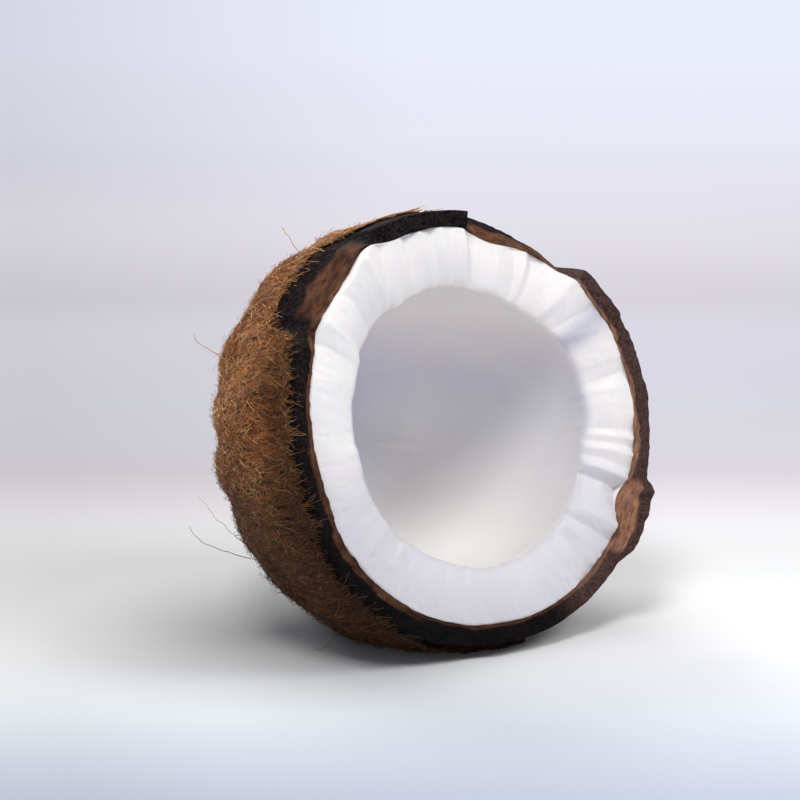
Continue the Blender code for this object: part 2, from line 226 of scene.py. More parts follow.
# Woody places of the broken shell: angles, the shares of the wall from inside to outside, strength
Woody = namedtuple("Woody", "start stop ramp inner outer strength")
WOODY_PLACES = (
    Woody(46, 80, 3, 0.0, 0.62, 1.0),
    Woody(315, 334, 3, 0.0, 0.66, 1.0),
    Woody(119, 141, 4, 0.0, 0.6, 0.85),
    Woody(138, 182, 6, 0.0, 0.24, 1.0),
    Woody(182, 236, 6, 0.0, 0.4, 0.6),
    Woody(336, 402, 8, 0.0, 0.2, 0.9),
    Woody(236, 312, 10, 0.0, 0.14, 0.5),
)
WOOD_OVERLAP, WOOD_FADE_IN, WOOD_FADE_OUT = 0.06, 0.08, 0.10

# Painted shade: tones the dark shell's colours are multiplied by, by share of the height, darkest low
# down
SHELL_PAINTED_SHADES = (
    (0.1, (0.25, 0.25, 0.3)),
    (0.45, (0.4, 0.4, 0.4)),
    (0.8, (1.0, 1.0, 1.0)),
)

# Where the broken shell is browner and paler: angles and ramp
PALE_SIDE = (298.0, 399.0, 14.0)
PALE_STRENGTH = 0.8

# How finely the pieces are made: points round the rim, then rings from the inside out
COAT_STEPS, SHELL_STEPS, MEAT_STEPS = 400, 1000, 720
COAT_ROWS = (6, 96)
SHELL_ROWS = (9, 28, 12)
MEAT_ROWS = (26, 44, 9)
CLOSER_AT_EDGE = 1.15

# Roughness: the size of its grain, its height, its seed and how many layers of finer grain it has
Rough = namedtuple("Rough", "size height seed layers")
TORN_COIR = Rough(2.2 * MM, 0.8 * MM, 301, 3)
COIR_STRANDS = Rough(1.5 * MM, 0.34 * MM, 61, 2)
COIR_TANGLES = Rough(3.4 * MM, 0.42 * MM, 71, 1)
TANGLE_SWAY = Rough(9.0 * MM, 2.5, 5, 1)
STRAND_STRETCH, TANGLE_STRETCH = 7.0, 3.0
SHELL_OUTER_CHIPS = Rough(3.0 * MM, 0.55 * MM, 401, 3)
SHELL_INNER_CHIPS = Rough(2.4 * MM, 0.35 * MM, 421, 3)
SPLINTER_TIPS = Rough(1.9 * MM, 1.4 * MM, 411, 1)
SHELL_CRUMBS = Rough(1.5 * MM, 0.36 * MM, 441, 3)
SHELL_SPLITS = Rough(0.42 * MM, 0.42 * MM, 451, 1)
SHELL_SIDEWAYS = Rough(0.9 * MM, 0.16 * MM, 461, 1)
WOOD_BORDER = Rough(4.0 * MM, 0.10, 431, 1)
WOOD_STREAKS = Rough(0.7 * MM, 0.6, 471, 1)
STREAKLESS, STREAK_TURN, STREAK_STRETCH, SPLIT_STRETCH = 0.75, 40.0, 3.0, 9.0
CREASE_WANDER = Rough(7.0 * MM, 1.2, 501, 1)
CAVITY_NICKS = (Rough(7.5 * MM, 0.6 * MM, 541, 1), Rough(2.6 * MM, 0.25 * MM, 551, 1))
CAVITY_CHIPS = Rough(3.4 * MM, 0.35 * MM, 561, 1)
CAVITY_RIPPLE = Rough(9.0 * MM, 0.16 * MM, 511, 1)
NICK_REACH = 8.0 * MM
MEAT_FIBRES = Rough(1.1 * MM, 0.16 * MM, 521, 1)
MEAT_CRUMBS = Rough(1.3 * MM, 0.07 * MM, 531, 3)
MEAT_FIBRE_LENGTH = 5.0 * MM
ROUGH_UNTIL = 0.8
SPLINTERED_MEAT = (288, 334, 12)

# The coir's fibres
Fibres = namedtuple("Fibres", "name count length girth spread lift bend waves segments place seed")
FIBRE_SETS = (
    Fibres("coir_under", 5000, 6.0, 0.12, 0.6, 0.04, 0.8, 3.5, 5, "cover", 11),
    Fibres("coir_over", 4700, 5.0, 0.095, 0.9, 0.08, 1.3, 5.5, 6, "cover", 23),
    Fibres("coir_wisps", 3600, 3.9, 0.085, 1.2, 0.18, 1.7, 8.0, 8, "cover", 37),
    Fibres("coir_curls", 1500, 4.6, 0.08, 2.0, 0.22, 2.4, 10.0, 11, "cover", 41),
    Fibres("coir_fringe", 1400, 3.0, 0.09, 0.8, 0.10, 1.0, 5.0, 6, "fringe", 53),
    Fibres("coir_strands", 110, 15.0, 0.085, 2.6, 0.08, 2.8, 4.0, 18, "deep", 67),
)
# Where the fibres grow and how loose they are: behind the torn edge and over the ground
SHAGGY_SIDE = (112, 250, 30)
COVER_START, COVER_REACH = 0.6 * MM, 1.2 * MM
FRINGE_WIDTH, FRINGE_GROUND = 5.0 * MM, 1.0 * MM
DEEP_START, DEEP_REACH = 16.0 * MM, 8.0 * MM
LOOSE_REACH = 22.0 * MM
LOOSE_AT_EDGE, LOOSE_AND_SHAGGY = 0.15, 0.35
# A fibre's shares: its shortest length and what is drawn on top, its least lift, how soon it
# stands clear of the coat, how its sway grows, and what it loses in thickness
SHORTEST, LENGTH_DRAWN = 0.45, 0.9
LEAST_LIFT = 0.15
CLEAR_AFTER = 6.0
SWAY_POWER = 0.8
FIBRE_TAPER = 0.55
FIBRES_APART = (90.0, 70.0, 40.0)
# Painted shade and light: tones the coir's colours are multiplied by, by share of the height, darkest
# low down
COIR_PAINTED_SHADES = (
    (0.05, (0.2, 0.17, 0.16)),
    (0.3, (0.38, 0.34, 0.32)),
    (0.55, (0.95, 0.9, 0.87)),
    (0.95, (1.0, 0.98, 0.9)),
)
# Painted shade where the coir darkens towards the rim: start and reach along the opening's axis,
# height it fades out at and over
RIM_PAINTED_SHADE = (22.0 * MM, 8.0 * MM, 88.0 * MM, 14.0 * MM)
RIM_PAINTED_SHADE_STRENGTH = 0.55
RIM_PAINTED_SHADE_COLOUR = (0.008, 0.003, 0.002)
FIBRE_ROOT = 0.4 * MM
FIBRE_CLEARANCE = 0.25 * MM
FLAT_CLEARANCE = 0.12 * MM
FIBRE_FRONT = -36.8 * MM
FIBRE_TOP = 111.0 * MM

# Long loose strands: where each leaves the coir, and how far its tip lies to the right, back and up
Strand = namedtuple("Strand", "turn angle reach")
LONG_STRANDS = (
    Strand(205.5, 105, (-13.2 * MM, 11 * MM, 7.4 * MM)),
    Strand(121, 101, (-2.2 * MM, 2.6 * MM, 5.2 * MM)),
    Strand(152, 112, (-5.4 * MM, 4.2 * MM, 5.6 * MM)),
    Strand(232, 100, (-6.2 * MM, 0.6 * MM, -3.2 * MM)),
    Strand(88, 118, (1.6 * MM, 7 * MM, 4.4 * MM)),
    Strand(8, 128, (6.2 * MM, 6 * MM, -2.6 * MM)),
    Strand(331, 112, (6 * MM, 4.6 * MM, -4 * MM)),
    Strand(60, 158, (3.2 * MM, 8 * MM, 2 * MM)),
    Strand(196, 160, (-5 * MM, 7 * MM, -2.4 * MM)),
)
STRAND_LIFT = 0.5 * MM
STRAND_BOW = 2.5 * MM
STRAND_RADIUS = 0.11 * MM
STRAND_POINTS = 28
STRAND_SWAY = 0.5 * MM

RIGHT = np.array([1.0, 0.0, 0.0])
UP = np.array([0.0, math.sin(LEAN), math.cos(LEAN)])
OUT = np.array([0.0, -math.cos(LEAN), math.sin(LEAN)])

Layer = namedtuple("Layer", "radius length floor outer")


def layer(inset, floor, outer=False):
    """An egg-shaped surface this far inside the coir's, pressed up to stay over its floor."""
    return Layer(NUT_RADIUS - inset, NUT_LENGTH - inset, floor, outer)


HUSK_OUTSIDE = layer(0.0, -0.3 * MM, outer=True)
HUSK_INSIDE = layer(HUSK_WALL, 1.9 * MM, outer=True)
SHELL_OUTSIDE = layer(HUSK_WALL + GAP, 1.9 * MM + GAP, outer=True)
SHELL_INSIDE = layer(HUSK_WALL + GAP + SHELL_WALL, 6.7 * MM)
MEAT_OUTSIDE = layer(HUSK_WALL + SHELL_WALL + GAP, 6.7 * MM)
CAVITY = layer(HUSK_WALL + SHELL_WALL + MEAT_WALL + 2 * GAP, -1.0)


def rim_middle():
    """The middle of the rim, from where the round coir's lowest point has to be."""
    fall = math.hypot(NUT_LENGTH * math.sin(LEAN), NUT_RADIUS * math.cos(LEAN))
    back = (NUT_LENGTH**2 - NUT_RADIUS**2) * math.sin(LEAN) * math.cos(LEAN) / fall
    egg_middle = np.array([0.0, -back - FLAT_MIDDLE, fall - SETTLE])
    return egg_middle + BELLY * OUT


RIM_MIDDLE = rim_middle()


def smooth(x):
    x = np.clip(x, 0.0, 1.0)
    return x * x * (3.0 - 2.0 * x)


def away(turn, middle):
    """Degrees between an angle round the rim and another, at most 180."""
    return np.abs((turn - middle + 180.0) % 360.0 - 180.0)


def plateau(turn, start, stop, ramp):
    """1 between two angles round the rim, falling smoothly to 0 over a ramp on both sides."""
    half = (stop - start) / 2.0
    return smooth((half + ramp - away(turn, start + half)) / ramp)


def bell(turn, middle, spread):
    return np.exp(-((away(turn, middle) / spread) ** 2))


def waves(turn, *terms):
    """A sum of sine waves round the rim, each given by its count, phase and height."""
    return sum(
        height * np.sin(np.radians(count * turn) + phase) for count, phase, height in terms
    )


def grain(points, size, seed):
    """Smooth random values from -1 to 1, one for each point, which vary over about this size."""
    lattice = np.random.default_rng(seed).uniform(-1.0, 1.0, (32, 32, 32))
    scaled = points / size
    corner = np.floor(scaled).astype(int)
    share = smooth(scaled - corner)
    total = 0.0
    for step in np.ndindex(2, 2, 2):
        weight = np.prod(np.where(step, share, 1.0 - share), axis=-1)
        total = total + weight * lattice[tuple(np.moveaxis((corner + step) % 32, -1, 0))]
    return total


def layered_grain(points, size, seed, layers=3):
    """Grain with finer and weaker grain on top."""
    return sum(grain(points, size / 2**i, seed + i) / 2**i for i in range(layers))


def rough(points, kind):
    """Heights of one kind of roughness, one for each point."""
    return kind.height * layered_grain(points, kind.size, kind.seed, kind.layers)


def shell_edge(turn):
    """How far the shell's outer and inner edges stand in front of the rim's plane."""
    outer = waves(turn, *OUTER_EDGE_WAVES)
    inner = waves(turn, *INNER_EDGE_WAVES) - INNER_EDGE_BACK
    for chip in RIM_BREAKS:
        share = plateau(turn, chip.start, chip.stop, chip.ramp)
        outer = outer + share * chip.outer
        inner = inner + share * chip.inner
    return outer, inner


def husk_edge(turn):
    """The coir's torn edges, a step behind the shell's outer edge."""
    start, stop, ramp, nearer = HUSK_LAP
    step = HUSK_STEP + nearer * plateau(turn, start, stop, ramp)
    edge = shell_edge(turn)[0] - step + waves(turn, *HUSK_JAG_WAVES)
    edge = edge - WORN_BACK * plateau(turn, *WORN_SIDE)
    return edge - HUSK_EDGE_SLANT, edge


def meat_edges(turn):
    """Where the white face starts at the shell and ends at the cavity."""
    recess = plateau(turn, *RECESS)
    at_shell = MEAT_EDGE + waves(turn, *MEAT_EDGE_WAVES)
    at_cavity = CAVITY_EDGE - FACET_BACK * plateau(turn, *FACET)
    at_cavity = at_cavity + waves(turn, *CAVITY_EDGE_WAVES)
    return at_shell - RECESS_AT_SHELL * recess, at_cavity - RECESS_AT_CAVITY * recess


def reach(surface, turn, angle):
    """Radius and distance along the opening's axis at an angle from that axis, in degrees."""
    lean = np.radians(angle)
    along = surface.length * np.cos(lean) - BELLY
    radius = surface.radius + FLAT_SIDE[2] * bell(turn, *FLAT_SIDE[:2])
    if surface.outer:
        lift = plateau(turn, *SPLINTER) * smooth(1.0 + along / SPLINTER_LENGTH)
        radius = radius + SHOULDER[2] * bell(turn, *SHOULDER[:2]) + SPLINTER_LIFT * lift
    return radius * np.sin(lean), along


def world(turn, radius, along):
    """Points given round, out from and along the opening's axis."""
    turn = np.radians(turn)
    return (
        RIM_MIDDLE
        + np.multiply.outer(radius * np.cos(turn), RIGHT)
        + np.multiply.outer(radius * np.sin(turn), UP)
        + np.multiply.outer(along, OUT)
    )


def pressed(points, floor):
    """The points with those near or below a floor eased up on to it."""
    height = points[..., 2]
    points = points.copy()
    points[..., 2] = (
        height + floor + np.sqrt((height - floor) ** 2 + PRESS_ROUNDING**2)
    ) / 2.0
    return points


def coir_relief(turn, angle):
    """Height of the matted strands, which run from the pole to the rim."""
    sway = 0.5 * np.sin(np.radians(3 * angle)) + 0.3 * np.sin(np.radians(2 * turn))
    fine = np.sin(np.radians(18 * turn) + 2.3 * sway + 0.4)
    coarse = np.sin(np.radians(11 * turn) + 1.7 * np.sin(np.radians(5 * angle)))
    lumps = np.sin(np.radians(7 * angle + 2 * turn)) * np.sin(np.radians(5 * turn) + 1.0)
    fade = smooth((180.0 - angle) / 24.0)
    return fade * (FINE_RELIEF * fine + COARSE_RELIEF * (coarse + lumps) / 2.0)


def on_surface(surface, turn, angle, raised=0.0):
    radius, along = reach(surface, turn, angle)
    lean = np.radians(angle)
    points = world(turn, radius + raised * np.sin(lean), along + raised * np.cos(lean))
    return pressed(points, surface.floor)


def worn_thin(turn, behind):
    """How far the coat is worn at an angle and this far behind its torn edge."""
    return plateau(turn, *WORN_SIDE) * (1.0 - smooth(behind / WORN_TAPER))


def crown_drop(turn, angle):
    """How far the top of the rim is lowered, less and less towards the back."""
    return CROWN[3] * plateau(turn, *CROWN[:3]) * smooth((CROWN_BACK - angle) / CROWN_FADE)


def on_coir(turn, angle, raised=0.0):
    """Points on the outside of the husk or over it, none below the flat spot."""
    behind = husk_edge(turn)[1] - reach(HUSK_OUTSIDE, turn, angle)[1]
    thin = (HUSK_WALL - HUSK_EDGE_WALL) * (1.0 - smooth(behind / HUSK_TAPER))
    worn = worn_thin(turn, behind)
    thin = thin * (1.0 - worn) + (HUSK_WALL - WORN_WALL) * worn
    thin = thin + 0.9 * crown_drop(turn, angle)
    relief = coir_relief(turn, angle) * smooth(behind / HUSK_TAPER) * (1.0 - WORN_RELIEF * worn)
    under = (away(turn, HEEL[0]) / HEEL[1]) ** 2 + ((angle - HEEL[2]) / HEEL[3]) ** 2
    relief = relief + HEEL[4] * np.exp(-under)
    points = on_surface(HUSK_OUTSIDE, turn, angle, relief - thin + raised)
    points[..., 2] = np.maximum(points[..., 2], 0.0)
    return points


def edge_angle(surface, along):
    """Angle from the opening's axis at which a surface comes this far forward."""
    return np.degrees(np.arccos(np.clip((along + BELLY) / surface.length, -1.0, 1.0)))


def around(steps):
    return np.arange(steps) * 360.0 / steps


def angles_to_pole(first, count):
    """Angles from a broken edge to the pole, closer together at the edge."""
    shares = np.linspace(0.0, 1.0, count) ** CLOSER_AT_EDGE
    return [first + share * (180.0 - first) for share in shares]


def face_shares(count):
    """Where the rings of a broken face lie between its two edges."""
    return np.linspace(0.0, 1.0, count + 2)[1:-1]


def cup(name, rows, fields, material):
    """A closed cup: a profile turned by a Screw, its points then moved, with values kept on them."""
    rows = np.array(rows)
    steps = rows.shape[1]
    first = rows[:, 0] - RIM_MIDDLE
    profile = bpy.data.meshes.new(name + "_profile")
    profile.from_pydata(
        [(math.hypot(p @ RIGHT, p @ UP), 0.0, p @ OUT) for p in first],
        [(i, i + 1) for i in range(len(rows) - 1)],
        [],
    )
    piece = bpy.data.objects.new(name, profile)
    bpy.context.scene.collection.objects.link(piece)
    screw = piece.modifiers.new("turn", "SCREW")
    screw.steps = screw.render_steps = steps
    screw.use_merge_vertices = False
    mesh = mesh_of(piece)
    piece.modifiers.clear()
    piece.data = mesh
    mesh.name = name
    mesh.vertices.foreach_set("co", rows.transpose(1, 0, 2).ravel())
    for field, values in fields.items():
        keep(mesh, field, np.array(values))
    ends = bmesh.new()
    ends.from_mesh(mesh)
    ends.verts.ensure_lookup_table()
    poles = [v for v in ends.verts if v.index % len(rows) in (0, len(rows) - 1)]
    bmesh.ops.remove_doubles(ends, verts=poles, dist=1e-6)
    bmesh.ops.recalc_face_normals(ends, faces=ends.faces)
    ends.to_mesh(mesh)
    ends.free()
    mesh.shade_smooth()
    mesh.materials.clear()
    mesh.materials.append(material)
    return piece


def keep(mesh, field, values):
    """Stores one number or vector for each of a cup's points, given ring by ring."""
    if values.ndim == 3:
        store = mesh.attributes.new(field, "FLOAT_VECTOR", "POINT")
        store.data.foreach_set("vector", values.transpose(1, 0, 2).ravel())
    else:
        store = mesh.attributes.new(field, "FLOAT", "POINT")
        store.data.foreach_set("value", values.T.ravel())


def mesh_of(obj):
    graph = bpy.context.evaluated_depsgraph_get()
    return bpy.data.meshes.new_from_object(obj.evaluated_get(graph))


def flowing(turn, angle, stretch):
    """Coordinates that change fast across the coir's strands and slowly along them."""
    turn = np.radians(turn)
    across = np.stack([np.cos(turn), np.sin(turn), 0.0 * turn], axis=-1) * NUT_RADIUS
    along = np.radians(angle) * NUT_LENGTH / stretch
    across[..., 2] = along
    return across


def coat_parts():
    """The coat's rings of points with what its material and its fibres need to know."""
    turn = around(COAT_STEPS)
    inner_edge, outer_edge = husk_edge(turn)
    torn_edge = outer_edge - HUSK_START + rough(flowing(turn, 90.0, 1.0), TORN_COIR)
    inside = [
        on_surface(HUSK_INSIDE, turn, angle, -crown_drop(turn, angle))
        for angle in angles_to_pole(edge_angle(HUSK_INSIDE, inner_edge), COAT_ROWS[0])
    ]
    outside, flow, strands, cover, deep, fringe, loose, flat = ([] for _ in range(8))
    shaggy = plateau(turn, *SHAGGY_SIDE)
    for angle in angles_to_pole(edge_angle(HUSK_OUTSIDE, torn_edge), COAT_ROWS[1]):
        path = flowing(turn, angle, STRAND_STRETCH)
        tangle = flowing(turn, angle + rough(path, TANGLE_SWAY), TANGLE_STRETCH)
        raised = rough(path, COIR_STRANDS) + rough(tangle, COIR_TANGLES)
        fade = smooth((180.0 - angle) / 10.0)
        behind = outer_edge - reach(HUSK_OUTSIDE, turn, angle)[1]
        low = COAT_LOWERED * smooth(behind / COAT_LOWERED_OVER)
        worn = worn_thin(turn, behind)
        raised = (raised - low) * fade * (1.0 - WORN_RELIEF * worn)
        ring = on_coir(turn, angle, raised)
        outside.append(ring)
        step = on_coir(turn, np.maximum(angle - 1.0, 60.0), raised) - ring
        flow.append(step / np.maximum(np.linalg.norm(step, axis=-1), 1e-9)[..., None])
        strands.append(path)
        over_ground = smooth((ring[..., 2] - COVER_START) / COVER_REACH)
        cover.append(over_ground * (1.0 - WORN_COVER * worn))
        near = smooth(1.0 - behind / FRINGE_WIDTH) * smooth(ring[..., 2] / FRINGE_GROUND)
        fringe.append(near * shaggy)
        deep.append(smooth((behind - DEEP_START) / DEEP_REACH) * cover[-1])
        at_edge = LOOSE_AT_EDGE + LOOSE_AND_SHAGGY * shaggy
        looser = at_edge + (1.0 - at_edge) * smooth(behind / LOOSE_REACH)
        loose.append(looser * (1.0 - WORN_LOOSE * worn))
        flat.append(worn)
    fields = {"flow": flow, "strands": strands, "cover": cover, "deep": deep, "fringe": fringe}
    fields.update(loose=loose, flat=flat)
    for field, values in fields.items():
        hidden = np.zeros((len(inside), *np.shape(values)[1:]))
        fields[field] = np.concatenate([hidden, values])
    return inside[::-1] + outside, fields


def edge_shift(turn, behind):
    """How far inside their round the meat's and the shell's touching sides lie near the rim."""
    shift = sum(s.inward * bell(turn, s.turn, s.spread) for s in EDGE_SHIFTS)
    return shift * (1.0 - smooth(behind / FACET_FADE))


def shell_parts():
    """The shell's rings of points, with its broken face between its two edges."""
    turn = around(SHELL_STEPS)
    outer_edge, inner_edge = shell_edge(turn)
    place = flowing(turn, 90.0, 1.0)
    outer_edge = outer_edge + rough(place, SHELL_OUTER_CHIPS)
    outer_edge = outer_edge + plateau(turn, *SPLINTER) * rough(place, SPLINTER_TIPS)
    inner_edge = inner_edge + rough(place, SHELL_INNER_CHIPS)
    inside = []
    for angle in angles_to_pole(edge_angle(SHELL_INSIDE, inner_edge), SHELL_ROWS[0]):
        behind = inner_edge - reach(SHELL_INSIDE, turn, angle)[1]
        inside.append(on_surface(SHELL_INSIDE, turn, angle, -edge_shift(turn, behind)))
    outside = [
        on_surface(SHELL_OUTSIDE, turn, angle, -crown_drop(turn, angle))
        for angle in angles_to_pole(edge_angle(SHELL_OUTSIDE, outer_edge), SHELL_ROWS[2])
    ]
    outward = np.multiply.outer(np.cos(np.radians(turn)), RIGHT)
    outward = outward + np.multiply.outer(np.sin(np.radians(turn)), UP)
    border = rough(place, WOOD_BORDER)
    face, wood = [], []
    for share in face_shares(SHELL_ROWS[1]):
        woody = sum(
            spot.strength
            * plateau(turn, spot.start, spot.stop, spot.ramp)
            * smooth((share - spot.inner + WOOD_OVERLAP) / WOOD_FADE_IN)
            * smooth((spot.outer - share + WOOD_OVERLAP + border) / WOOD_FADE_OUT)
            for spot in WOODY_PLACES
        )
        streaked = flowing(turn, 90.0 + STREAK_TURN * share, 1.0) / STREAK_STRETCH
        streaks = np.clip(STREAKLESS + rough(streaked, WOOD_STREAKS), 0.0, 1.0)
        woody = np.clip(woody, 0.0, 1.0) * streaks
        point = inside[0] * (1 - share) + outside[0] * share
        lengthwise = place / SPLIT_STRETCH
        lengthwise[..., 2] = share * SHELL_WALL
        bulge = RIM_FACE_CROWN * np.sin(math.pi * share)
        bulge = bulge + rough(point, SHELL_CRUMBS) * (1 - 0.6 * woody)
        bulge = bulge + rough(lengthwise, SHELL_SPLITS) * woody
        side = rough(point, SHELL_SIDEWAYS)
        face.append(point + np.multiply.outer(bulge, OUT) + outward * side[:, None])
        wood.append(woody)
    rows = inside[::-1] + face + outside
    pale = [PALE_STRENGTH * plateau(turn, *PALE_SIDE)] * len(rows)
    blank_in = np.zeros((len(inside), SHELL_STEPS))
    blank_out = np.zeros((len(outside), SHELL_STEPS))
    blank_in[-1] = wood[0]
    return rows, {"wood": np.concatenate([blank_in, wood, blank_out]), "pale": pale}


def creased(turn, share):
    """Height of the white face's ridges and valleys on the ring at this share from the shell."""
    at = [c.outer * (1 - share) + c.inner * share for c in MEAT_CREASES]
    middle = 4 * share * (1 - share)
    height = [
        (c.raised_outer * (1 - share) + c.raised_inner * share) * (1 - middle)
        + c.raised_middle * middle
        for c in MEAT_CREASES
    ]
    return CREASE_STRENGTH * MM * np.interp(turn, at, height, period=360.0)


def meat_parts():
    """The meat's rings of points: the cavity, the broken white face and the brown outside."""
    turn = around(MEAT_STEPS)
    at_shell, at_cavity = meat_edges(turn)
    place = flowing(turn, 90.0, 1.0)
    wander = rough(place, CREASE_WANDER)
    rounded = ROUNDED_LEAST + (1.0 - ROUNDED_LEAST) * plateau(turn, *ROUNDED_SIDE)
    rounding = CAVITY_ROUNDING * rounded
    nicks = sum(rough(place, kind) for kind in CAVITY_NICKS)
    at_cavity = at_cavity + rough(place, CAVITY_CHIPS)
    outside = []
    for angle in angles_to_pole(edge_angle(MEAT_OUTSIDE, at_shell), MEAT_ROWS[2]):
        behind = at_shell - reach(MEAT_OUTSIDE, turn, angle)[1]
        outside.append(on_surface(MEAT_OUTSIDE, turn, angle, -edge_shift(turn, behind)))
    inside = []
    for angle in angles_to_pole(edge_angle(CAVITY, at_cavity - rounding), MEAT_ROWS[0]):
        behind = at_cavity - rounding - reach(CAVITY, turn, angle)[1]
        ripple = rough(flowing(turn, angle, 1.0), CAVITY_RIPPLE)
        ripple = ripple + nicks * (1.0 - smooth(behind / NICK_REACH))
        inside.append(on_surface(CAVITY, turn, angle, ripple * smooth((180.0 - angle) / 20.0)))
    lip = inside[0] + np.multiply.outer(rounding, OUT)
    shares = face_shares(MEAT_ROWS[1])
    face = []
    for share in shares:
        t = max(0.0, (share - CAVITY_ROUNDED_FROM) / (1.0 - CAVITY_ROUNDED_FROM))
        drop = rounding * (1.0 - math.sqrt(1.0 - t * t))
        fade = 1.0 - smooth((share - ROUGH_UNTIL) / (1.0 - ROUGH_UNTIL))
        point = outside[0] * (1 - share) + lip * share
        spread = flowing(turn, 90.0, 1.0)
        spread[..., 2] = share * MEAT_FIBRE_LENGTH
        fibres = rough(spread, MEAT_FIBRES) * (1.0 - share) ** 1.5
        fibres = fibres * (1.0 + 1.6 * plateau(turn, *SPLINTERED_MEAT))
        raised = 4 * share * (1 - share) * MEAT_CROWN + creased(turn + wander, share)
        raised = raised + fade * (fibres + rough(point, MEAT_CRUMBS)) - drop
        face.append(point + np.multiply.outer(raised, OUT))

    def band(rings, value):
        return [value + 0.0 * turn] * len(rings)

    rows = inside[::-1] + face[::-1] + outside
    moist = [smooth((share - WET_FROM) / WET_SPAN) + 0.0 * turn for share in shares[::-1]]
    wet = band(inside, 1.0) + moist + band(outside, 0.0)
    skin = band(inside + face + outside[:1], 0.0) + band(outside[1:], 1.0)
    # Painted shade: the share of grey on the lower side and on the facet at the upper right
    tone = plateau(turn, *PAINTED_SHADE_LOW) * PAINTED_SHADE_LOW_SHARE + bell(turn, *PAINTED_SHADE_HIGH)
    grey = band(inside, 0.0) + band(face, tone) + band(outside, 0.0)
    return rows, {"wet": wet, "skin": skin, "grey": grey}


def feed(tree, socket, value):
    """Sets a socket to a value, or links it to the socket that the value comes from."""
    if isinstance(value, bpy.types.NodeSocket):
        tree.links.new(value, socket)
    else:
        socket.default_value = value


def add(tree, kind, inputs=None, **settings):
    """Adds a node with its settings. Each input is a value or the socket that it comes from."""
    node = tree.nodes.new(kind)
    for name, value in settings.items():
        setattr(node, name, value)
    for name, value in (inputs or {}).items():
        usable = [s for s in node.inputs if s.enabled and s.name == name]
        feed(tree, node.inputs[name] if isinstance(name, int) else usable[0], value)
    return node


def math_of(tree, operation, a, b=0.0, clamp=False):
    node = add(tree, "ShaderNodeMath", {0: a, 1: b}, operation=operation, use_clamp=clamp)
    return node.outputs[0]


def times(tree, first, *factors):
    for factor in factors:
        first = math_of(tree, "MULTIPLY", first, factor)
    return first


def plus(tree, first, *terms):
    for term in terms:
        first = math_of(tree, "ADD", first, term)
    return first


def minus(tree, a, b):
    return math_of(tree, "SUBTRACT", a, b)


def rising(tree, value, start, span):
    """0 up to a start and 1 from a span after it on, or the other way for a negative span."""
    return math_of(tree, "DIVIDE", minus(tree, value, start), span, clamp=True)


def vector_of(tree, operation, a, *others):
    for b in others:
        a = add(tree, "ShaderNodeVectorMath", {0: a, 1: b}, operation=operation).outputs[0]
    return a


def scaled(tree, vector, factor):
    inputs = {"Vector": vector, "Scale": factor}
    return add(tree, "ShaderNodeVectorMath", inputs, operation="SCALE").outputs[0]


def measured(tree, operation, a, b):
    """A number worked out from two vectors, such as how far one reaches along the other."""
    node = add(tree, "ShaderNodeVectorMath", {0: a, 1: b}, operation=operation)
    return node.outputs["Value"]


def parts_of(tree, vector):
    return add(tree, "ShaderNodeSeparateXYZ", {"Vector": vector}).outputs


def kept_for(tree, name, kind="FLOAT"):
    """A value that an earlier step kept on the geometry."""
    node = add(tree, "GeometryNodeInputNamedAttribute", {"Name": name}, data_type=kind)
    return node.outputs["Attribute"]


def keeping(tree, geometry, kind, **values):
    """The geometry with values kept on its points."""
    for name, value in values.items():
        geometry = add(
            tree,
            "GeometryNodeStoreNamedAttribute",
            {"Geometry": geometry, "Name": name, "Value": value},
            data_type=kind,
            domain="POINT",
        ).outputs[0]
    return geometry


def drawn_of(tree, low, seed):
    """Three random numbers for each point, between a lowest value and 1."""
    inputs = {"Min": (low,) * 3, "Max": (1.0,) * 3, "Seed": seed}
    return add(tree, "FunctionNodeRandomValue", inputs, data_type="FLOAT_VECTOR").outputs[0]


FIBRE_INPUTS = {
    "Density": "Float",
    "Length": "Float",
    "Girth": "Float",
    "Spread": "Float",
    "Lift": "Float",
    "Bend": "Float",
    "Waves": "Float",
    "Points": "Int",
    "Place": "String",
    "Seed": "Int",
    "Fibre": "Material",
}
# What the coat and the growing fibres keep and the finished fibres don't need
GROWTH_FIELDS = (
    "root heading over draw second id flow strands cover deep fringe loose flat".split()
)


def fibre_tree():
    """Grows curved, tapering fibres out of a surface along its kept flow."""
    tree = bpy.data.node_groups.new("coir_fibres", "GeometryNodeTree")
    sockets = tree.interface
    sockets.new_socket("Surface", in_out="INPUT", socket_type="NodeSocketGeometry")
    for name, kind in FIBRE_INPUTS.items():
        sockets.new_socket(name, in_out="INPUT", socket_type="NodeSocket" + kind)
    sockets.new_socket("Fibres", in_out="OUTPUT", socket_type="NodeSocketGeometry")
    given = add(tree, "NodeGroupInput").outputs
    lines = fibre_lines(tree, given, fibre_roots(tree, given))
    section = add(
        tree, "GeometryNodeCurvePrimitiveCircle", {"Resolution": 3, "Radius": given["Girth"]}
    ).outputs[0]
    along = add(tree, "GeometryNodeSplineParameter").outputs["Factor"]
    taper = minus(tree, 1.0, times(tree, along, FIBRE_TAPER))
    tubes = add(
        tree,
        "GeometryNodeCurveToMesh",
        {"Curve": lines, "Profile Curve": section, "Scale": taper, "Fill Caps": True},
    ).outputs[0]
    tubes = add(tree, "GeometryNodeRealizeInstances", {"Geometry": tubes}).outputs[0]
    tubes = add(
        tree, "GeometryNodeSetMaterial", {"Geometry": tubes, "Material": given["Fibre"]}
    ).outputs[0]
    tree.links.new(tubes, add(tree, "NodeGroupOutput").inputs["Fibres"])
    return tree


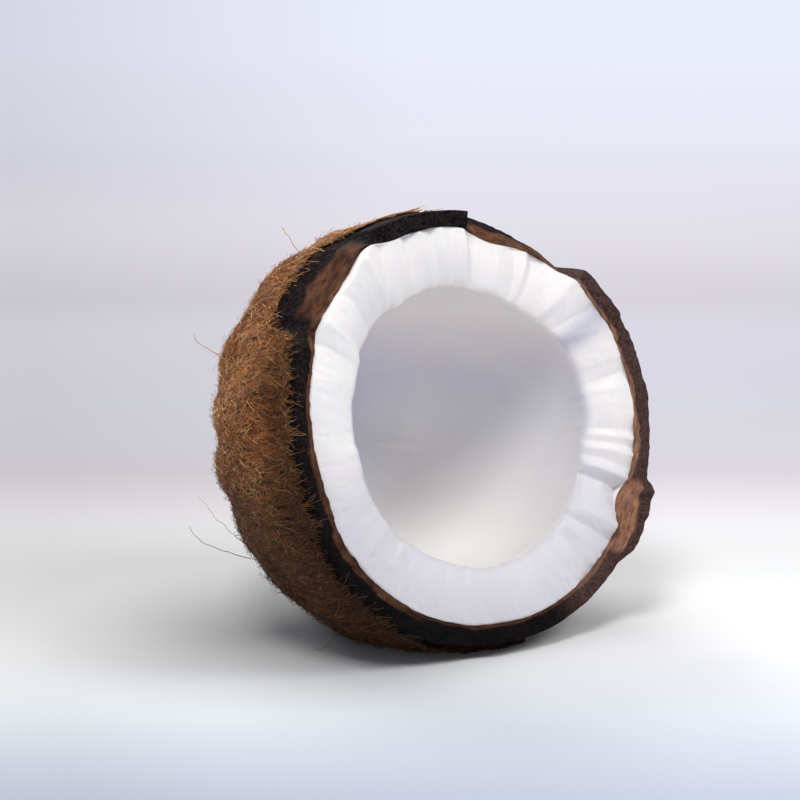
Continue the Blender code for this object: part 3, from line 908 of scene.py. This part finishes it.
def fibre_roots(tree, given):
    """Points where fibres grow, with each one's root, heading and random numbers."""
    place = kept_for(tree, given["Place"])
    spots = add(
        tree,
        "GeometryNodeDistributePointsOnFaces",
        {
            "Mesh": given["Surface"],
            "Density": times(tree, given["Density"], place),
            "Seed": given["Seed"],
        },
    )
    over = spots.outputs["Normal"]
    flow = kept_for(tree, "flow", "FLOAT_VECTOR")
    draw = drawn_of(tree, 0.0, given["Seed"])
    second = drawn_of(tree, -1.0, plus(tree, given["Seed"], 100.0))
    swing = times(tree, parts_of(tree, second)["X"], given["Spread"])
    across = vector_of(tree, "CROSS_PRODUCT", over, flow)
    heading = vector_of(
        tree,
        "ADD",
        scaled(tree, flow, math_of(tree, "COSINE", swing)),
        scaled(tree, across, math_of(tree, "SINE", swing)),
    )
    spot = add(tree, "GeometryNodeInputPosition").outputs[0]
    root = vector_of(tree, "SUBTRACT", spot, scaled(tree, over, FIBRE_ROOT))
    return keeping(
        tree,
        spots.outputs["Points"],
        "FLOAT_VECTOR",
        root=root,
        heading=heading,
        over=over,
        draw=draw,
        second=second,
    )


def fibre_lines(tree, given, cloud):
    """A curve from each root, lifted clear of the coat, swaying and kept off the ground."""
    line = add(tree, "GeometryNodeCurvePrimitiveLine", {"End": (0.0, 0.0, MM)}).outputs[0]
    line = add(
        tree, "GeometryNodeResampleCurve", {"Curve": line, "Count": given["Points"]}
    ).outputs[0]
    lines = add(
        tree, "GeometryNodeInstanceOnPoints", {"Points": cloud, "Instance": line}
    ).outputs[0]
    lines = add(tree, "GeometryNodeRealizeInstances", {"Geometry": lines}).outputs[0]

    along = add(tree, "GeometryNodeSplineParameter").outputs["Factor"]
    drawn = parts_of(tree, kept_for(tree, "draw", "FLOAT_VECTOR"))
    other = parts_of(tree, kept_for(tree, "second", "FLOAT_VECTOR"))
    loose, flat = kept_for(tree, "loose"), kept_for(tree, "flat")
    share = plus(tree, times(tree, drawn["X"], LENGTH_DRAWN), SHORTEST)
    run = times(tree, given["Length"], share, along)
    rise = times(
        tree, given["Lift"], plus(tree, drawn["Y"], LEAST_LIFT), times(tree, run, along), loose
    )
    fall = times(tree, run, run, -0.5 / NUT_RADIUS, minus(tree, 1.0, flat))
    over_root = plus(tree, times(tree, flat, FLAT_CLEARANCE), FIBRE_ROOT * 1.05)
    clear = times(tree, math_of(tree, "MULTIPLY", along, CLEAR_AFTER, clamp=True), over_root)
    height = plus(tree, rise, fall, clear)
    apart = times(tree, drawn["Y"], FIBRES_APART[1])
    wander = add(
        tree,
        "ShaderNodeCombineXYZ",
        {
            "X": times(tree, drawn["Z"], FIBRES_APART[0]),
            "Y": plus(tree, times(tree, along, given["Waves"]), apart),
            "Z": times(tree, other["Y"], FIBRES_APART[2]),
        },
    ).outputs[0]
    noise = add(
        tree, "ShaderNodeTexNoise", {"Vector": wander, "Scale": 1.0, "Detail": 1.5}
    ).outputs["Color"]
    growing = math_of(tree, "POWER", along, SWAY_POWER)
    amount = times(tree, given["Bend"], growing, math_of(tree, "POWER", loose, 0.5), 2.0)
    root, heading, over = (
        kept_for(tree, name, "FLOAT_VECTOR") for name in ("root", "heading", "over")
    )
    spot = vector_of(
        tree,
        "ADD",
        root,
        scaled(tree, heading, run),
        scaled(tree, over, height),
        scaled(tree, vector_of(tree, "SUBTRACT", noise, (0.5, 0.5, 0.5)), amount),
    )
    spot = vector_of(tree, "MAXIMUM", spot, (-1.0, FIBRE_FRONT, FIBRE_CLEARANCE))
    spot = vector_of(tree, "MINIMUM", spot, (1.0, 1.0, FIBRE_TOP))
    lines = add(
        tree, "GeometryNodeSetPosition", {"Geometry": lines, "Position": spot}
    ).outputs[0]
    return keeping(tree, lines, "FLOAT", tone=drawn["Z"], tip=along)


def surface_area(mesh, field):
    """The mesh's area in square metres, each face counted by the value kept on it."""
    areas = np.zeros(len(mesh.polygons))
    mesh.polygons.foreach_get("area", areas)
    values = np.zeros(len(mesh.vertices), np.float32)
    mesh.attributes[field].data.foreach_get("value", values)
    first = np.zeros(len(mesh.polygons), np.int32)
    mesh.polygons.foreach_get("loop_start", first)
    corner = np.zeros(len(mesh.loops), np.int32)
    mesh.loops.foreach_get("vertex_index", corner)
    return float((areas * values[corner[first]]).sum())


def grow(coat, fibres, tree, material, girth):
    """One set of fibres as a plain mesh of its own."""
    piece = bpy.data.objects.new(fibres.name, coat.data.copy())
    bpy.context.scene.collection.objects.link(piece)
    settings = {
        "Density": fibres.count / surface_area(coat.data, fibres.place),
        "Length": fibres.length * MM,
        "Girth": fibres.girth * MM * girth,
        "Spread": fibres.spread,
        "Lift": fibres.lift,
        "Bend": fibres.bend * MM,
        "Waves": fibres.waves,
        "Points": fibres.segments + 1,
        "Place": fibres.place,
        "Seed": fibres.seed,
        "Fibre": material,
    }
    growth = piece.modifiers.new("growth", "NODES")
    growth.node_group = tree
    for socket in tree.interface.items_tree:
        if socket.in_out == "INPUT" and socket.name in settings:
            growth[socket.identifier] = settings[socket.name]
    mesh = mesh_of(piece)
    piece.modifiers.clear()
    piece.data = mesh
    mesh.name = fibres.name
    for field in [a.name for a in mesh.attributes]:
        if field in GROWTH_FIELDS:
            mesh.attributes.remove(mesh.attributes[field])
    mesh.shade_smooth()
    return piece


def strand_points(strand, seed):
    """A long loose strand, rooted in the coir, bowed towards its tip and slightly crimped."""
    root = on_coir(strand.turn, strand.angle, -FIBRE_ROOT)
    start = on_coir(strand.turn, strand.angle, STRAND_LIFT)
    tip = start + np.array(strand.reach)
    bow = on_coir(strand.turn, strand.angle, STRAND_BOW) - start
    along = np.linspace(0.0, 1.0, STRAND_POINTS)[:, None]
    path = start * (1 - along) + tip * along + 4 * along * (1 - along) * bow
    walk = np.concatenate([along * 9.0 * STRAND_SWAY, 0 * along, 0 * along], axis=1)
    sway = [grain(walk, STRAND_SWAY, seed + axis) for axis in range(3)]
    path = path + STRAND_SWAY * np.stack(sway, axis=1) * np.sqrt(along)
    return np.concatenate([root[None], path])


def loose_strands(material):
    """The long loose strands as thin tapering tubes in one mesh."""
    curve = bpy.data.curves.new("loose_strands", "CURVE")
    curve.dimensions = "3D"
    curve.bevel_depth = STRAND_RADIUS
    curve.bevel_resolution = 0
    curve.use_fill_caps = True
    for i, strand in enumerate(LONG_STRANDS):
        path = strand_points(strand, 600 + 10 * i)
        spline = curve.splines.new("POLY")
        spline.points.add(len(path) - 1)
        for j, (point, place) in enumerate(zip(spline.points, path)):
            point.co = (*place, 1.0)
            point.radius = 1.0 - 0.5 * j / len(path)
    guide = bpy.data.objects.new("strand_paths", curve)
    bpy.context.scene.collection.objects.link(guide)
    mesh = mesh_of(guide)
    bpy.data.objects.remove(guide)
    mesh.name = "loose_strands"
    mesh.materials.clear()
    mesh.materials.append(material)
    tone = mesh.attributes.new("tone", "FLOAT", "POINT")
    tone.data.foreach_set("value", np.full(len(mesh.vertices), 0.8))
    piece = bpy.data.objects.new("loose_strands", mesh)
    bpy.context.scene.collection.objects.link(piece)
    mesh.shade_smooth()
    return piece


def linear(*colour):
    """An sRGB colour out of 255 as the linear one that shaders take."""
    shares = [c / 255.0 for c in colour]
    return tuple(c / 12.92 if c <= 0.04045 else ((c + 0.055) / 1.055) ** 2.4 for c in shares)


def shader_of(name):
    material = bpy.data.materials.new(name)
    material.use_nodes = True
    tree = material.node_tree
    return material, tree, tree.nodes["Principled BSDF"]


def noise_of(tree, vector, scale, detail=4.0, roughness=0.6):
    inputs = {"Vector": vector, "Scale": scale, "Detail": detail, "Roughness": roughness}
    return add(tree, "ShaderNodeTexNoise", inputs).outputs["Fac"]


def ramp_of(tree, value, *stops):
    """A colour ramp, each stop given by its place and its linear colour."""
    node = add(tree, "ShaderNodeValToRGB", {"Fac": value})
    points = node.color_ramp.elements
    while len(points) < len(stops):
        points.new(0.5)
    for point, (place, colour) in zip(points, stops):
        point.position = place
        point.color = (*colour, 1.0)
    return node.outputs["Color"]


def mixed(tree, share, a, b, blend="MIX"):
    """Two colours mixed, each a linear colour or the socket that it comes from."""
    node = add(tree, "ShaderNodeMix", data_type="RGBA", blend_type=blend)
    feed(tree, node.inputs[0], share)
    for socket, colour in ((node.inputs[6], a), (node.inputs[7], b)):
        linked = isinstance(colour, bpy.types.NodeSocket)
        feed(tree, socket, colour if linked else (*colour, 1.0))
    return node.outputs[2]


def finished(tree, shader, **inputs):
    """Sets the shader's inputs, named with underscores for their spaces."""
    for name, value in inputs.items():
        feed(tree, shader.inputs[name.replace("_", " ")], value)


def bumped(tree, height, distance, strength=1.0):
    inputs = {"Height": height, "Distance": distance, "Strength": strength}
    return add(tree, "ShaderNodeBump", inputs).outputs[0]


def kept_value(tree, field):
    return add(tree, "ShaderNodeAttribute", attribute_name=field).outputs["Fac"]


def kept_vector(tree, field):
    return add(tree, "ShaderNodeAttribute", attribute_name=field).outputs["Vector"]


def object_place(tree):
    return add(tree, "ShaderNodeTexCoord").outputs["Object"]


def lines_of(tree, vector, scale, width):
    """Thin wandering lines, where a noise crosses its middle value."""
    gap = math_of(tree, "ABSOLUTE", minus(tree, noise_of(tree, vector, scale, 1.5, 0.5), 0.5))
    return rising(tree, gap, width, -width)


def painted_shade_by_height(tree, colour, place, stops):
    """A colour with painted shade by height, with stops as shares of the coconut's height."""
    height = math_of(tree, "DIVIDE", parts_of(tree, place)["Z"], HEIGHT)
    return mixed(tree, 1.0, colour, ramp_of(tree, height, *stops), "MULTIPLY")


def coir_painted_light_and_shade(tree, colour, place):
    """A coir colour with painted shade low down and near the rim, and painted light more golden at
    the top.
    """
    shaded = painted_shade_by_height(tree, colour, place, COIR_PAINTED_SHADES)
    start, reach_back, top, fade = RIM_PAINTED_SHADE
    near = rising(tree, measured(tree, "DOT_PRODUCT", place, tuple(OUT)), start, reach_back)
    low = rising(tree, parts_of(tree, place)["Z"], top, -fade)
    return mixed(tree, times(tree, near, low, RIM_PAINTED_SHADE_STRENGTH), shaded, RIM_PAINTED_SHADE_COLOUR)


def coat_material(settings):
    """Matted coir: dark gaps under many thin fibres that run along its strands."""
    material, tree, shader = shader_of("matted_coir")
    strands, place = kept_vector(tree, "strands"), object_place(tree)
    streaks = noise_of(tree, strands, 900.0, 5.0)
    patches = noise_of(tree, place, 90.0, 3.0)
    hairs = math_of(
        tree,
        "MAXIMUM",
        lines_of(tree, strands, 1300.0, 0.05),
        math_of(
            tree, "MAXIMUM", lines_of(tree, place, 520.0, 0.022), lines_of(tree, place, 1150.0, 0.035)
        ),
    )
    ground = ramp_of(tree, streaks, (0.36, settings.coir_dark), (0.66, settings.coir_brown))
    tones = plus(tree, times(tree, patches, 0.6), times(tree, streaks, 0.4))
    light = ramp_of(tree, tones, (0.34, settings.coir_brown), (0.62, settings.coir_tan))
    colour = mixed(tree, times(tree, hairs, 0.75), ground, light)
    # The coat's colour gets painted shade low down and near the rim, and painted light at the top
    finished(
        tree,
        shader,
        Base_Color=coir_painted_light_and_shade(tree, colour, place),
        Roughness=0.8,
        Specular_IOR_Level=0.15,
        Normal=bumped(tree, plus(tree, times(tree, hairs, 0.5), streaks), 0.5 * MM),
    )
    return material


def fibre_material(settings):
    """Single coir fibres, each of its own tone between brown and blond, paler at the tips."""
    material, tree, shader = shader_of("coir_fibre")
    place = object_place(tree)
    patches = minus(tree, noise_of(tree, place, 60.0, 3.0), 0.5)
    tone = plus(
        tree,
        times(tree, kept_value(tree, "tone"), 0.72),
        times(tree, kept_value(tree, "tip"), 0.12),
        times(tree, patches, 0.7),
    )
    colour = ramp_of(
        tree,
        tone,
        (0.02, settings.coir_dark),
        (0.28, settings.coir_brown),
        (0.56, settings.coir_tan),
        (0.85, settings.coir_gold),
    )
    # Painted shade low down and near the rim, and painted light at the top
    colour = coir_painted_light_and_shade(tree, colour, place)
    finished(tree, shader, Base_Color=colour, Roughness=0.5, Specular_IOR_Level=0.35)
    return material


def shell_material(settings):
    """Near-black shell with brown wood where it is freshly split."""
    material, tree, shader = shader_of("dark_shell")
    place = object_place(tree)
    fine = noise_of(tree, place, 1300.0, 5.0, 0.75)
    broad = noise_of(tree, place, 240.0, 4.0)
    pale = kept_value(tree, "pale")
    dark = ramp_of(tree, fine, (0.44, settings.shell_dark), (0.70, settings.shell_grey))
    dark = mixed(tree, times(tree, broad, 0.8), dark, settings.shell_dark)
    # Painted shade: the dark shell is darker low down
    dark = painted_shade_by_height(tree, dark, place, SHELL_PAINTED_SHADES)
    brown = ramp_of(tree, fine, (0.40, settings.shell_wood_dark), (0.58, settings.shell_brown))
    dark = mixed(tree, times(tree, pale, 0.92), dark, brown)
    wood = ramp_of(tree, broad, (0.3, settings.shell_wood_dark), (0.7, settings.shell_wood))
    wood = mixed(tree, fine, wood, settings.shell_wood_dark)
    wood = mixed(tree, pale, wood, mixed(tree, fine, settings.shell_shard, wood))
    finished(
        tree,
        shader,
        Base_Color=mixed(tree, kept_value(tree, "wood"), dark, wood),
        Roughness=plus(tree, times(tree, fine, 0.3), 0.6),
        Specular_IOR_Level=0.1,
        Normal=bumped(tree, fine, 0.5 * MM),
    )
    return material


def cavity_colour(tree, place, clouds, settings):
    """Moist white: painted shade bluish at the left and grey in the middle, warm painted light at the
    top.
    """
    parts = parts_of(tree, place)
    across = rising(tree, parts["X"], *CAVITY_ACROSS)
    # moist carries the painted shade, bluish at the left and grey in the middle, then painted light
    # above
    moist = mixed(tree, across, settings.cavity_painted_cool_shade, settings.cavity_painted_shade)
    lower = rising(tree, parts["Z"], *CAVITY_LOWER)
    moist = mixed(tree, lower, settings.cavity_white, moist)
    upper = rising(tree, parts["Z"], *CAVITY_UPPER)
    moist = mixed(tree, upper, moist, settings.cavity_painted_bounce_light)
    cloud = math_of(tree, "MULTIPLY", minus(tree, clouds, 0.45), 1.4, clamp=True)
    return mixed(tree, cloud, moist, settings.cavity_white)


def meat_material(settings):
    """White meat, moist in the cavity, with its thin brown skin at the shell."""
    material, tree, shader = shader_of("white_meat")
    place = object_place(tree)
    clouds = noise_of(tree, place, 45.0, 3.0)
    wet = kept_value(tree, "wet")
    white = ramp_of(tree, clouds, (0.3, settings.meat_shade), (0.62, settings.meat_white))
    colour = mixed(tree, wet, white, cavity_colour(tree, place, clouds, settings))
    # Painted shade on the lower side and one facet of the white face
    colour = mixed(tree, kept_value(tree, "grey"), colour, settings.meat_grey)
    colour = mixed(tree, kept_value(tree, "skin"), colour, settings.meat_skin)
    finished(
        tree,
        shader,
        Base_Color=colour,
        Roughness=minus(tree, 0.5, times(tree, wet, 0.2)),
        Subsurface_Weight=0.35,
        Subsurface_Radius=(1.0, 0.85, 0.75),
        Subsurface_Scale=1.3 * MM,
        Normal=bumped(tree, noise_of(tree, place, 900.0, 5.0, 0.65), 0.12 * MM, 0.6),
    )
    return material


def colour_setting(name, description, *colour):
    return FloatVectorProperty(
        name=name,
        description=description,
        default=linear(*colour),
        subtype="COLOR",
        size=3,
        min=0.0,
        max=1.0,
    )


def share_setting(name, description, least, most):
    return FloatProperty(
        name=name, description=description, default=1.0, min=least, max=most, subtype="FACTOR"
    )


def power_setting(name, description, watts):
    return FloatProperty(
        name=name, description=description, default=watts, min=0.0, unit="POWER"
    )


class HuskSettings(PropertyGroup):
    coir_dark: colour_setting("Dark", "Deepest brown between the coir's strands", 30, 15, 8)
    coir_brown: colour_setting("Brown", "Main brown of the coir", 170, 103, 55)
    coir_tan: colour_setting("Tan", "Lighter strands and most loose fibres", 226, 163, 97)
    coir_gold: colour_setting("Gold", "Palest loose fibres", 255, 222, 156)
    fibre_share: share_setting(
        "Fibres", "How many loose fibres grow, as a share of the full coat", 0.05, 1.2
    )
    fibre_girth: share_setting(
        "Fibre thickness", "Thickness of the fibres against that of real ones", 0.3, 2.0
    )


class ShellSettings(PropertyGroup):
    shell_dark: colour_setting("Dark", "Near-black of the shell", 4, 2, 4)
    shell_grey: colour_setting("Grey", "Greyish crumbs of the broken face", 84, 66, 66)
    shell_shard: colour_setting("Shard", "Pale wood of the right side", 226, 170, 136)
    shell_brown: colour_setting("Brown", "Paler side of the broken face", 98, 80, 78)
    shell_wood: colour_setting("Wood", "Freshly split wood", 176, 124, 88)
    shell_wood_dark: colour_setting("Dark wood", "Darker grain of the split wood", 76, 42, 29)


class MeatSettings(PropertyGroup):
    meat_white: colour_setting("White", "Brightest white of the broken meat", 252, 247, 243)
    meat_shade: colour_setting("Shade", "Slightly darker white", 244, 239, 237)
    # Painted shade for the greyer places of the broken meat
    meat_grey: colour_setting("Grey", "Greyer places of the broken meat", 197, 196, 207)
    cavity_white: colour_setting("Cavity", "Moist white of the cavity's lower part", 242, 239, 234)
    # Painted light and shade in the cavity: warm painted bounce light at the top, grey painted shade
    # in the middle and bluish painted shade at the left
    cavity_painted_bounce_light: colour_setting("Cavity top", "Warm upper part of the cavity", 253, 242, 234)
    cavity_painted_shade: colour_setting("Cavity shade", "Greyer middle of the cavity", 212, 211, 221)
    cavity_painted_cool_shade: colour_setting("Cavity cool", "Bluish part of the cavity", 180, 192, 228)
    meat_skin: colour_setting("Skin", "Thin brown skin against the shell", 92, 56, 38)


class StageSettings(PropertyGroup):
    floor_radius: FloatProperty(
        name="Floor radius",
        description="How far the floor reaches",
        default=8.0,
        min=1.0,
        unit="LENGTH",
    )
    key_power: power_setting("Key light", "Power of the light above the right side", 4.5)
    rim_power: power_setting("Rim light", "Power of the light above and behind", 7.6)
    front_power: power_setting("Front light", "Power of the light above the front", 6.5)
    fill_power: power_setting("Fill light", "Power of the low light in front", 1.1)
    world_bright: FloatProperty(
        name="Bright side",
        description="Strength of the surroundings behind the coconut",
        default=0.55,
        min=0.0,
    )
    world_dim: FloatProperty(
        name="Dim side",
        description="Strength of the surroundings in front of the coconut",
        default=0.14,
        min=0.0,
    )


class COCONUT_OT_husk(Operator):
    """Builds the matted coat with its torn edge"""

    bl_idname = "coconut.husk"
    bl_label = "Build Coat"

    def execute(self, context):
        rows, fields = coat_parts()
        coat = cup("coir_coat", rows, fields, coat_material(context.scene.coconut_husk))
        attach(coat, "root")
        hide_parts("husk")
        return {"FINISHED"}


class COCONUT_OT_coir(Operator):
    """Grows every set of loose fibres from the coat"""

    bl_idname = "coconut.coir"
    bl_label = "Grow Fibres"

    def execute(self, context):
        settings = context.scene.coconut_husk
        coat = bpy.data.objects["coir_coat"]
        material = fibre_material(settings)
        tree = fibre_tree()
        for fibres in FIBRE_SETS:
            wanted = fibres._replace(count=fibres.count * settings.fibre_share)
            piece = grow(coat, wanted, tree, material, settings.fibre_girth)
            if not piece.data.polygons:
                raise RuntimeError(f"no fibres grew for {fibres.name}")
            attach(piece, "root")
            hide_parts("husk")
        strands = loose_strands(material)
        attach(strands, "root")
        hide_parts("husk")
        return {"FINISHED"}


class COCONUT_OT_shell(Operator):
    """Builds the shell with its chipped and split rim"""

    bl_idname = "coconut.shell"
    bl_label = "Build Shell"

    def execute(self, context):
        rows, fields = shell_parts()
        shell = cup("shell_cup", rows, fields, shell_material(context.scene.coconut_shell))
        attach(shell, "root")
        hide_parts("shell")
        return {"FINISHED"}


class COCONUT_OT_meat(Operator):
    """Builds the white meat with its broken face and its cavity"""

    bl_idname = "coconut.meat"
    bl_label = "Build Meat"

    def execute(self, context):
        rows, fields = meat_parts()
        meat = cup("meat_cup", rows, fields, meat_material(context.scene.coconut_meat))
        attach(meat, "root")
        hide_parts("meat")
        return {"FINISHED"}


# The floor's tone, with painted shade, and its own faint light, a painted glow, out of 255, at
# distances behind the coconut in metres
FLOOR_START, FLOOR_REACH = -0.2, 3.0
FLOOR_TONES = (
    (-0.13, (187, 193, 214)),
    (-0.07, (232, 239, 243)),
    (-0.02, (247, 247, 247)),
    (0.05, (223, 225, 225)),
    (0.10, (220, 219, 221)),
    (0.16, (187, 184, 190)),
    (0.26, (150, 150, 157)),
    (0.50, (93, 92, 100)),
)
FLOOR_GLOW = (
    (0.10, (0, 0, 0)),
    (0.16, (78, 77, 82)),
    (0.26, (148, 149, 155)),
    (0.42, (185, 182, 190)),
    (0.70, (208, 205, 212)),
    (1.3, (223, 225, 236)),
    (2.4, (228, 231, 243)),
)
# Painted shade: how the floor darkens towards the left of the picture, for its tone and its own
# light: where that starts and over what span, as shares of the distance, and how much is lost
FLOOR_LAYERS = (
    ("Base Color", FLOOR_TONES, -0.12, 0.29, 0.28),
    ("Emission Color", FLOOR_GLOW, 0.0, 0.17, 0.2),
)

# The painted shadow on the floor at the left of the foot: its middle, how far it reaches, strength
PAINTED_SHADOW_MIDDLE = (-36.0 * MM, 14.0 * MM, 0.0)
PAINTED_SHADOW_REACH = 66.0 * MM
PAINTED_SHADOW_STRENGTH = 0.75
PAINTED_SHADOW_COLOUR = (0.008, 0.006, 0.012)

# The camera looks at the middle of the rim, moved aside and up a little
CAMERA_TURN = math.radians(35.4)
CAMERA_PITCH = math.radians(12.0)
CAMERA_DISTANCE = 560.0 * MM
CAMERA_SIDE, CAMERA_RISE = -19.4 * MM, 5.6 * MM
CAMERA_LENS = 103.5

# The lights, each placed to the right, in front and up from a point in the coconut, in metres
LIT_MIDDLE = Vector((0.0, 0.0, 50.0 * MM))
Lamp = namedtuple("Lamp", "name right front up size colour")
LAMPS = (
    Lamp("key", 0.8, 0.2, 0.8, 0.5, (1.0, 0.98, 0.95)),
    Lamp("front", -0.2, 0.6, 1.0, 0.4, (1.0, 0.99, 0.98)),
    Lamp("rim", -0.45, -0.65, 0.55, 0.8, (1.0, 0.97, 0.93)),
    Lamp("fill", 0.1, 0.9, 0.05, 0.5, (0.97, 0.98, 1.0)),
)
BRIGHT_SIDE = (-0.25, -0.9, 0.35)
SURROUNDINGS = (232, 235, 248)


def camera_axes():
    """The camera's right, up and back directions."""
    turn, pitch = CAMERA_TURN, CAMERA_PITCH
    right = Vector((math.cos(turn), -math.sin(turn), 0.0))
    back = Vector(
        (-math.sin(turn) * math.cos(pitch), -math.cos(turn) * math.cos(pitch), math.sin(pitch))
    )
    return right, back.cross(right), back


def area_light(lamp, place, power):
    """A round light that faces the coconut."""
    light = bpy.data.lights.new(lamp.name, "AREA")
    light.shape = "DISK"
    light.size = lamp.size
    light.energy = power
    light.color = lamp.colour
    shining = bpy.data.objects.new(lamp.name, light)
    bpy.context.scene.collection.objects.link(shining)
    shining.location = place
    shining.rotation_euler = (LIT_MIDDLE - place).to_track_quat("-Z", "Y").to_euler()


def studio_world(scene, settings, bright_side):
    """Pale lilac surroundings, brighter on one side."""
    surroundings = bpy.data.worlds.new("studio")
    scene.world = surroundings
    surroundings.use_nodes = True
    tree = surroundings.node_tree
    towards = tuple(bright_side.normalized())
    side = measured(tree, "DOT_PRODUCT", object_place(tree), towards)
    share = math_of(tree, "ADD", times(tree, side, 0.5), 0.5, clamp=True)
    span = settings.world_bright - settings.world_dim
    strength = plus(tree, times(tree, share, span), settings.world_dim)
    background = tree.nodes["Background"]
    finished(tree, background, Color=(*linear(*SURROUNDINGS), 1.0), Strength=strength)


def floor_material():
    """Pale floor, painted shade lilac a little way behind, paler again in the distance by a painted
    glow.
    """
    material, tree, shader = shader_of("pale_floor")
    place = object_place(tree)
    sine, cosine = math.sin(CAMERA_TURN), math.cos(CAMERA_TURN)
    behind = measured(tree, "DOT_PRODUCT", place, (sine, cosine, 0.0))
    share = rising(tree, behind, FLOOR_START, FLOOR_REACH)
    # A painted shadow on the floor at the left of the foot
    near = rising(tree, measured(tree, "DISTANCE", place, PAINTED_SHADOW_MIDDLE), PAINTED_SHADOW_REACH, -PAINTED_SHADOW_REACH)
    painted_shadow = times(tree, math_of(tree, "POWER", near, 1.5), PAINTED_SHADOW_STRENGTH)
    aside = measured(tree, "DOT_PRODUCT", place, (-cosine, sine, 0.0))
    aside = math_of(tree, "DIVIDE", aside, plus(tree, behind, CAMERA_DISTANCE))
    for socket, tones, start, span, loss in FLOOR_LAYERS:
        stops = (((at - FLOOR_START) / FLOOR_REACH, linear(*tone)) for at, tone in tones)
        colour = ramp_of(tree, share, *stops)
        left = times(tree, rising(tree, aside, start, span), loss)
        colour = mixed(tree, left, colour, (0.0, 0.0, 0.0))
        tree.links.new(mixed(tree, painted_shadow, colour, PAINTED_SHADOW_COLOUR), shader.inputs[socket])
    finished(tree, shader, Emission_Strength=1.0, Roughness=0.8, Specular_IOR_Level=0.1)
    return material


class COCONUT_OT_stage(Operator):
    """Lays the pale floor and sets the lights and the camera"""

    bl_idname = "coconut.stage"
    bl_label = "Build Stage"

    def execute(self, context):
        settings = context.scene.coconut_stage
        scene = context.scene
        disc = bmesh.new()
        bmesh.ops.create_circle(disc, cap_ends=True, segments=96, radius=settings.floor_radius)
        mesh = bpy.data.meshes.new("floor")
        disc.to_mesh(mesh)
        disc.free()
        mesh.materials.append(floor_material())
        floor = bpy.data.objects.new("floor", mesh)
        scene.collection.objects.link(floor)

        right, up, back = camera_axes()
        front = Vector((back.x, back.y, 0.0)).normalized()
        rise = Vector((0.0, 0.0, 1.0))

        def from_middle(aside, ahead, above):
            return aside * right + ahead * front + above * rise

        studio_world(scene, settings, from_middle(*BRIGHT_SIDE))
        scene.view_settings.view_transform = "Standard"
        for lamp in LAMPS:
            place = LIT_MIDDLE + from_middle(lamp.right, lamp.front, lamp.up)
            area_light(lamp, place, getattr(settings, lamp.name + "_power"))

        camera = bpy.data.cameras.new("camera")
        camera.lens = CAMERA_LENS
        viewer = bpy.data.objects.new("camera", camera)
        scene.collection.objects.link(viewer)
        place = (
            Vector(RIM_MIDDLE)
            + CAMERA_SIDE * right
            + CAMERA_RISE * up
            + CAMERA_DISTANCE * back
        )
        turned = Matrix((right, up, back)).transposed().to_4x4()
        viewer.matrix_world = Matrix.Translation(place) @ turned
        scene.camera = viewer
        return {"FINISHED"}


class COCONUT_PT_half(Panel):
    """Sizes, colours and build steps of the coconut half"""

    bl_idname = "COCONUT_PT_half"
    bl_label = "Coconut Half"
    bl_space_type = "VIEW_3D"
    bl_region_type = "UI"
    bl_category = "Coconut"

    def draw(self, context):
        scene = context.scene
        for heading, settings, operators in (
            ("Husk", scene.coconut_husk, ("coconut.husk", "coconut.coir")),
            ("Shell", scene.coconut_shell, ("coconut.shell",)),
            ("Meat", scene.coconut_meat, ("coconut.meat",)),
            ("Stage", scene.coconut_stage, ("coconut.stage",)),
        ):
            box = self.layout.box()
            box.label(text=heading)
            for name in settings.bl_rna.properties.keys():
                if name not in ("rna_type", "name"):
                    box.prop(settings, name)
            for operator in operators:
                box.operator(operator)


SETTINGS = {
    "coconut_husk": HuskSettings,
    "coconut_shell": ShellSettings,
    "coconut_meat": MeatSettings,
    "coconut_stage": StageSettings,
}
CLASSES = (
    *SETTINGS.values(),
    COCONUT_OT_husk,
    COCONUT_OT_coir,
    COCONUT_OT_shell,
    COCONUT_OT_meat,
    COCONUT_OT_stage,
    COCONUT_PT_half,
)


def register():
    for cls in CLASSES:
        bpy.utils.register_class(cls)
    for name, group in SETTINGS.items():
        setattr(bpy.types.Scene, name, PointerProperty(type=group))


def unregister():
    for name in SETTINGS:
        delattr(bpy.types.Scene, name)
        delattr(bpy.types.Scene, name)
    for cls in reversed(CLASSES):
        bpy.utils.unregister_class(cls)


def main():
    register()
    bpy.ops.coconut.husk()
    bpy.ops.coconut.coir()
    bpy.ops.coconut.shell()
    bpy.ops.coconut.meat()
    bpy.ops.coconut.stage()


if __name__ == "__main__":
    main()
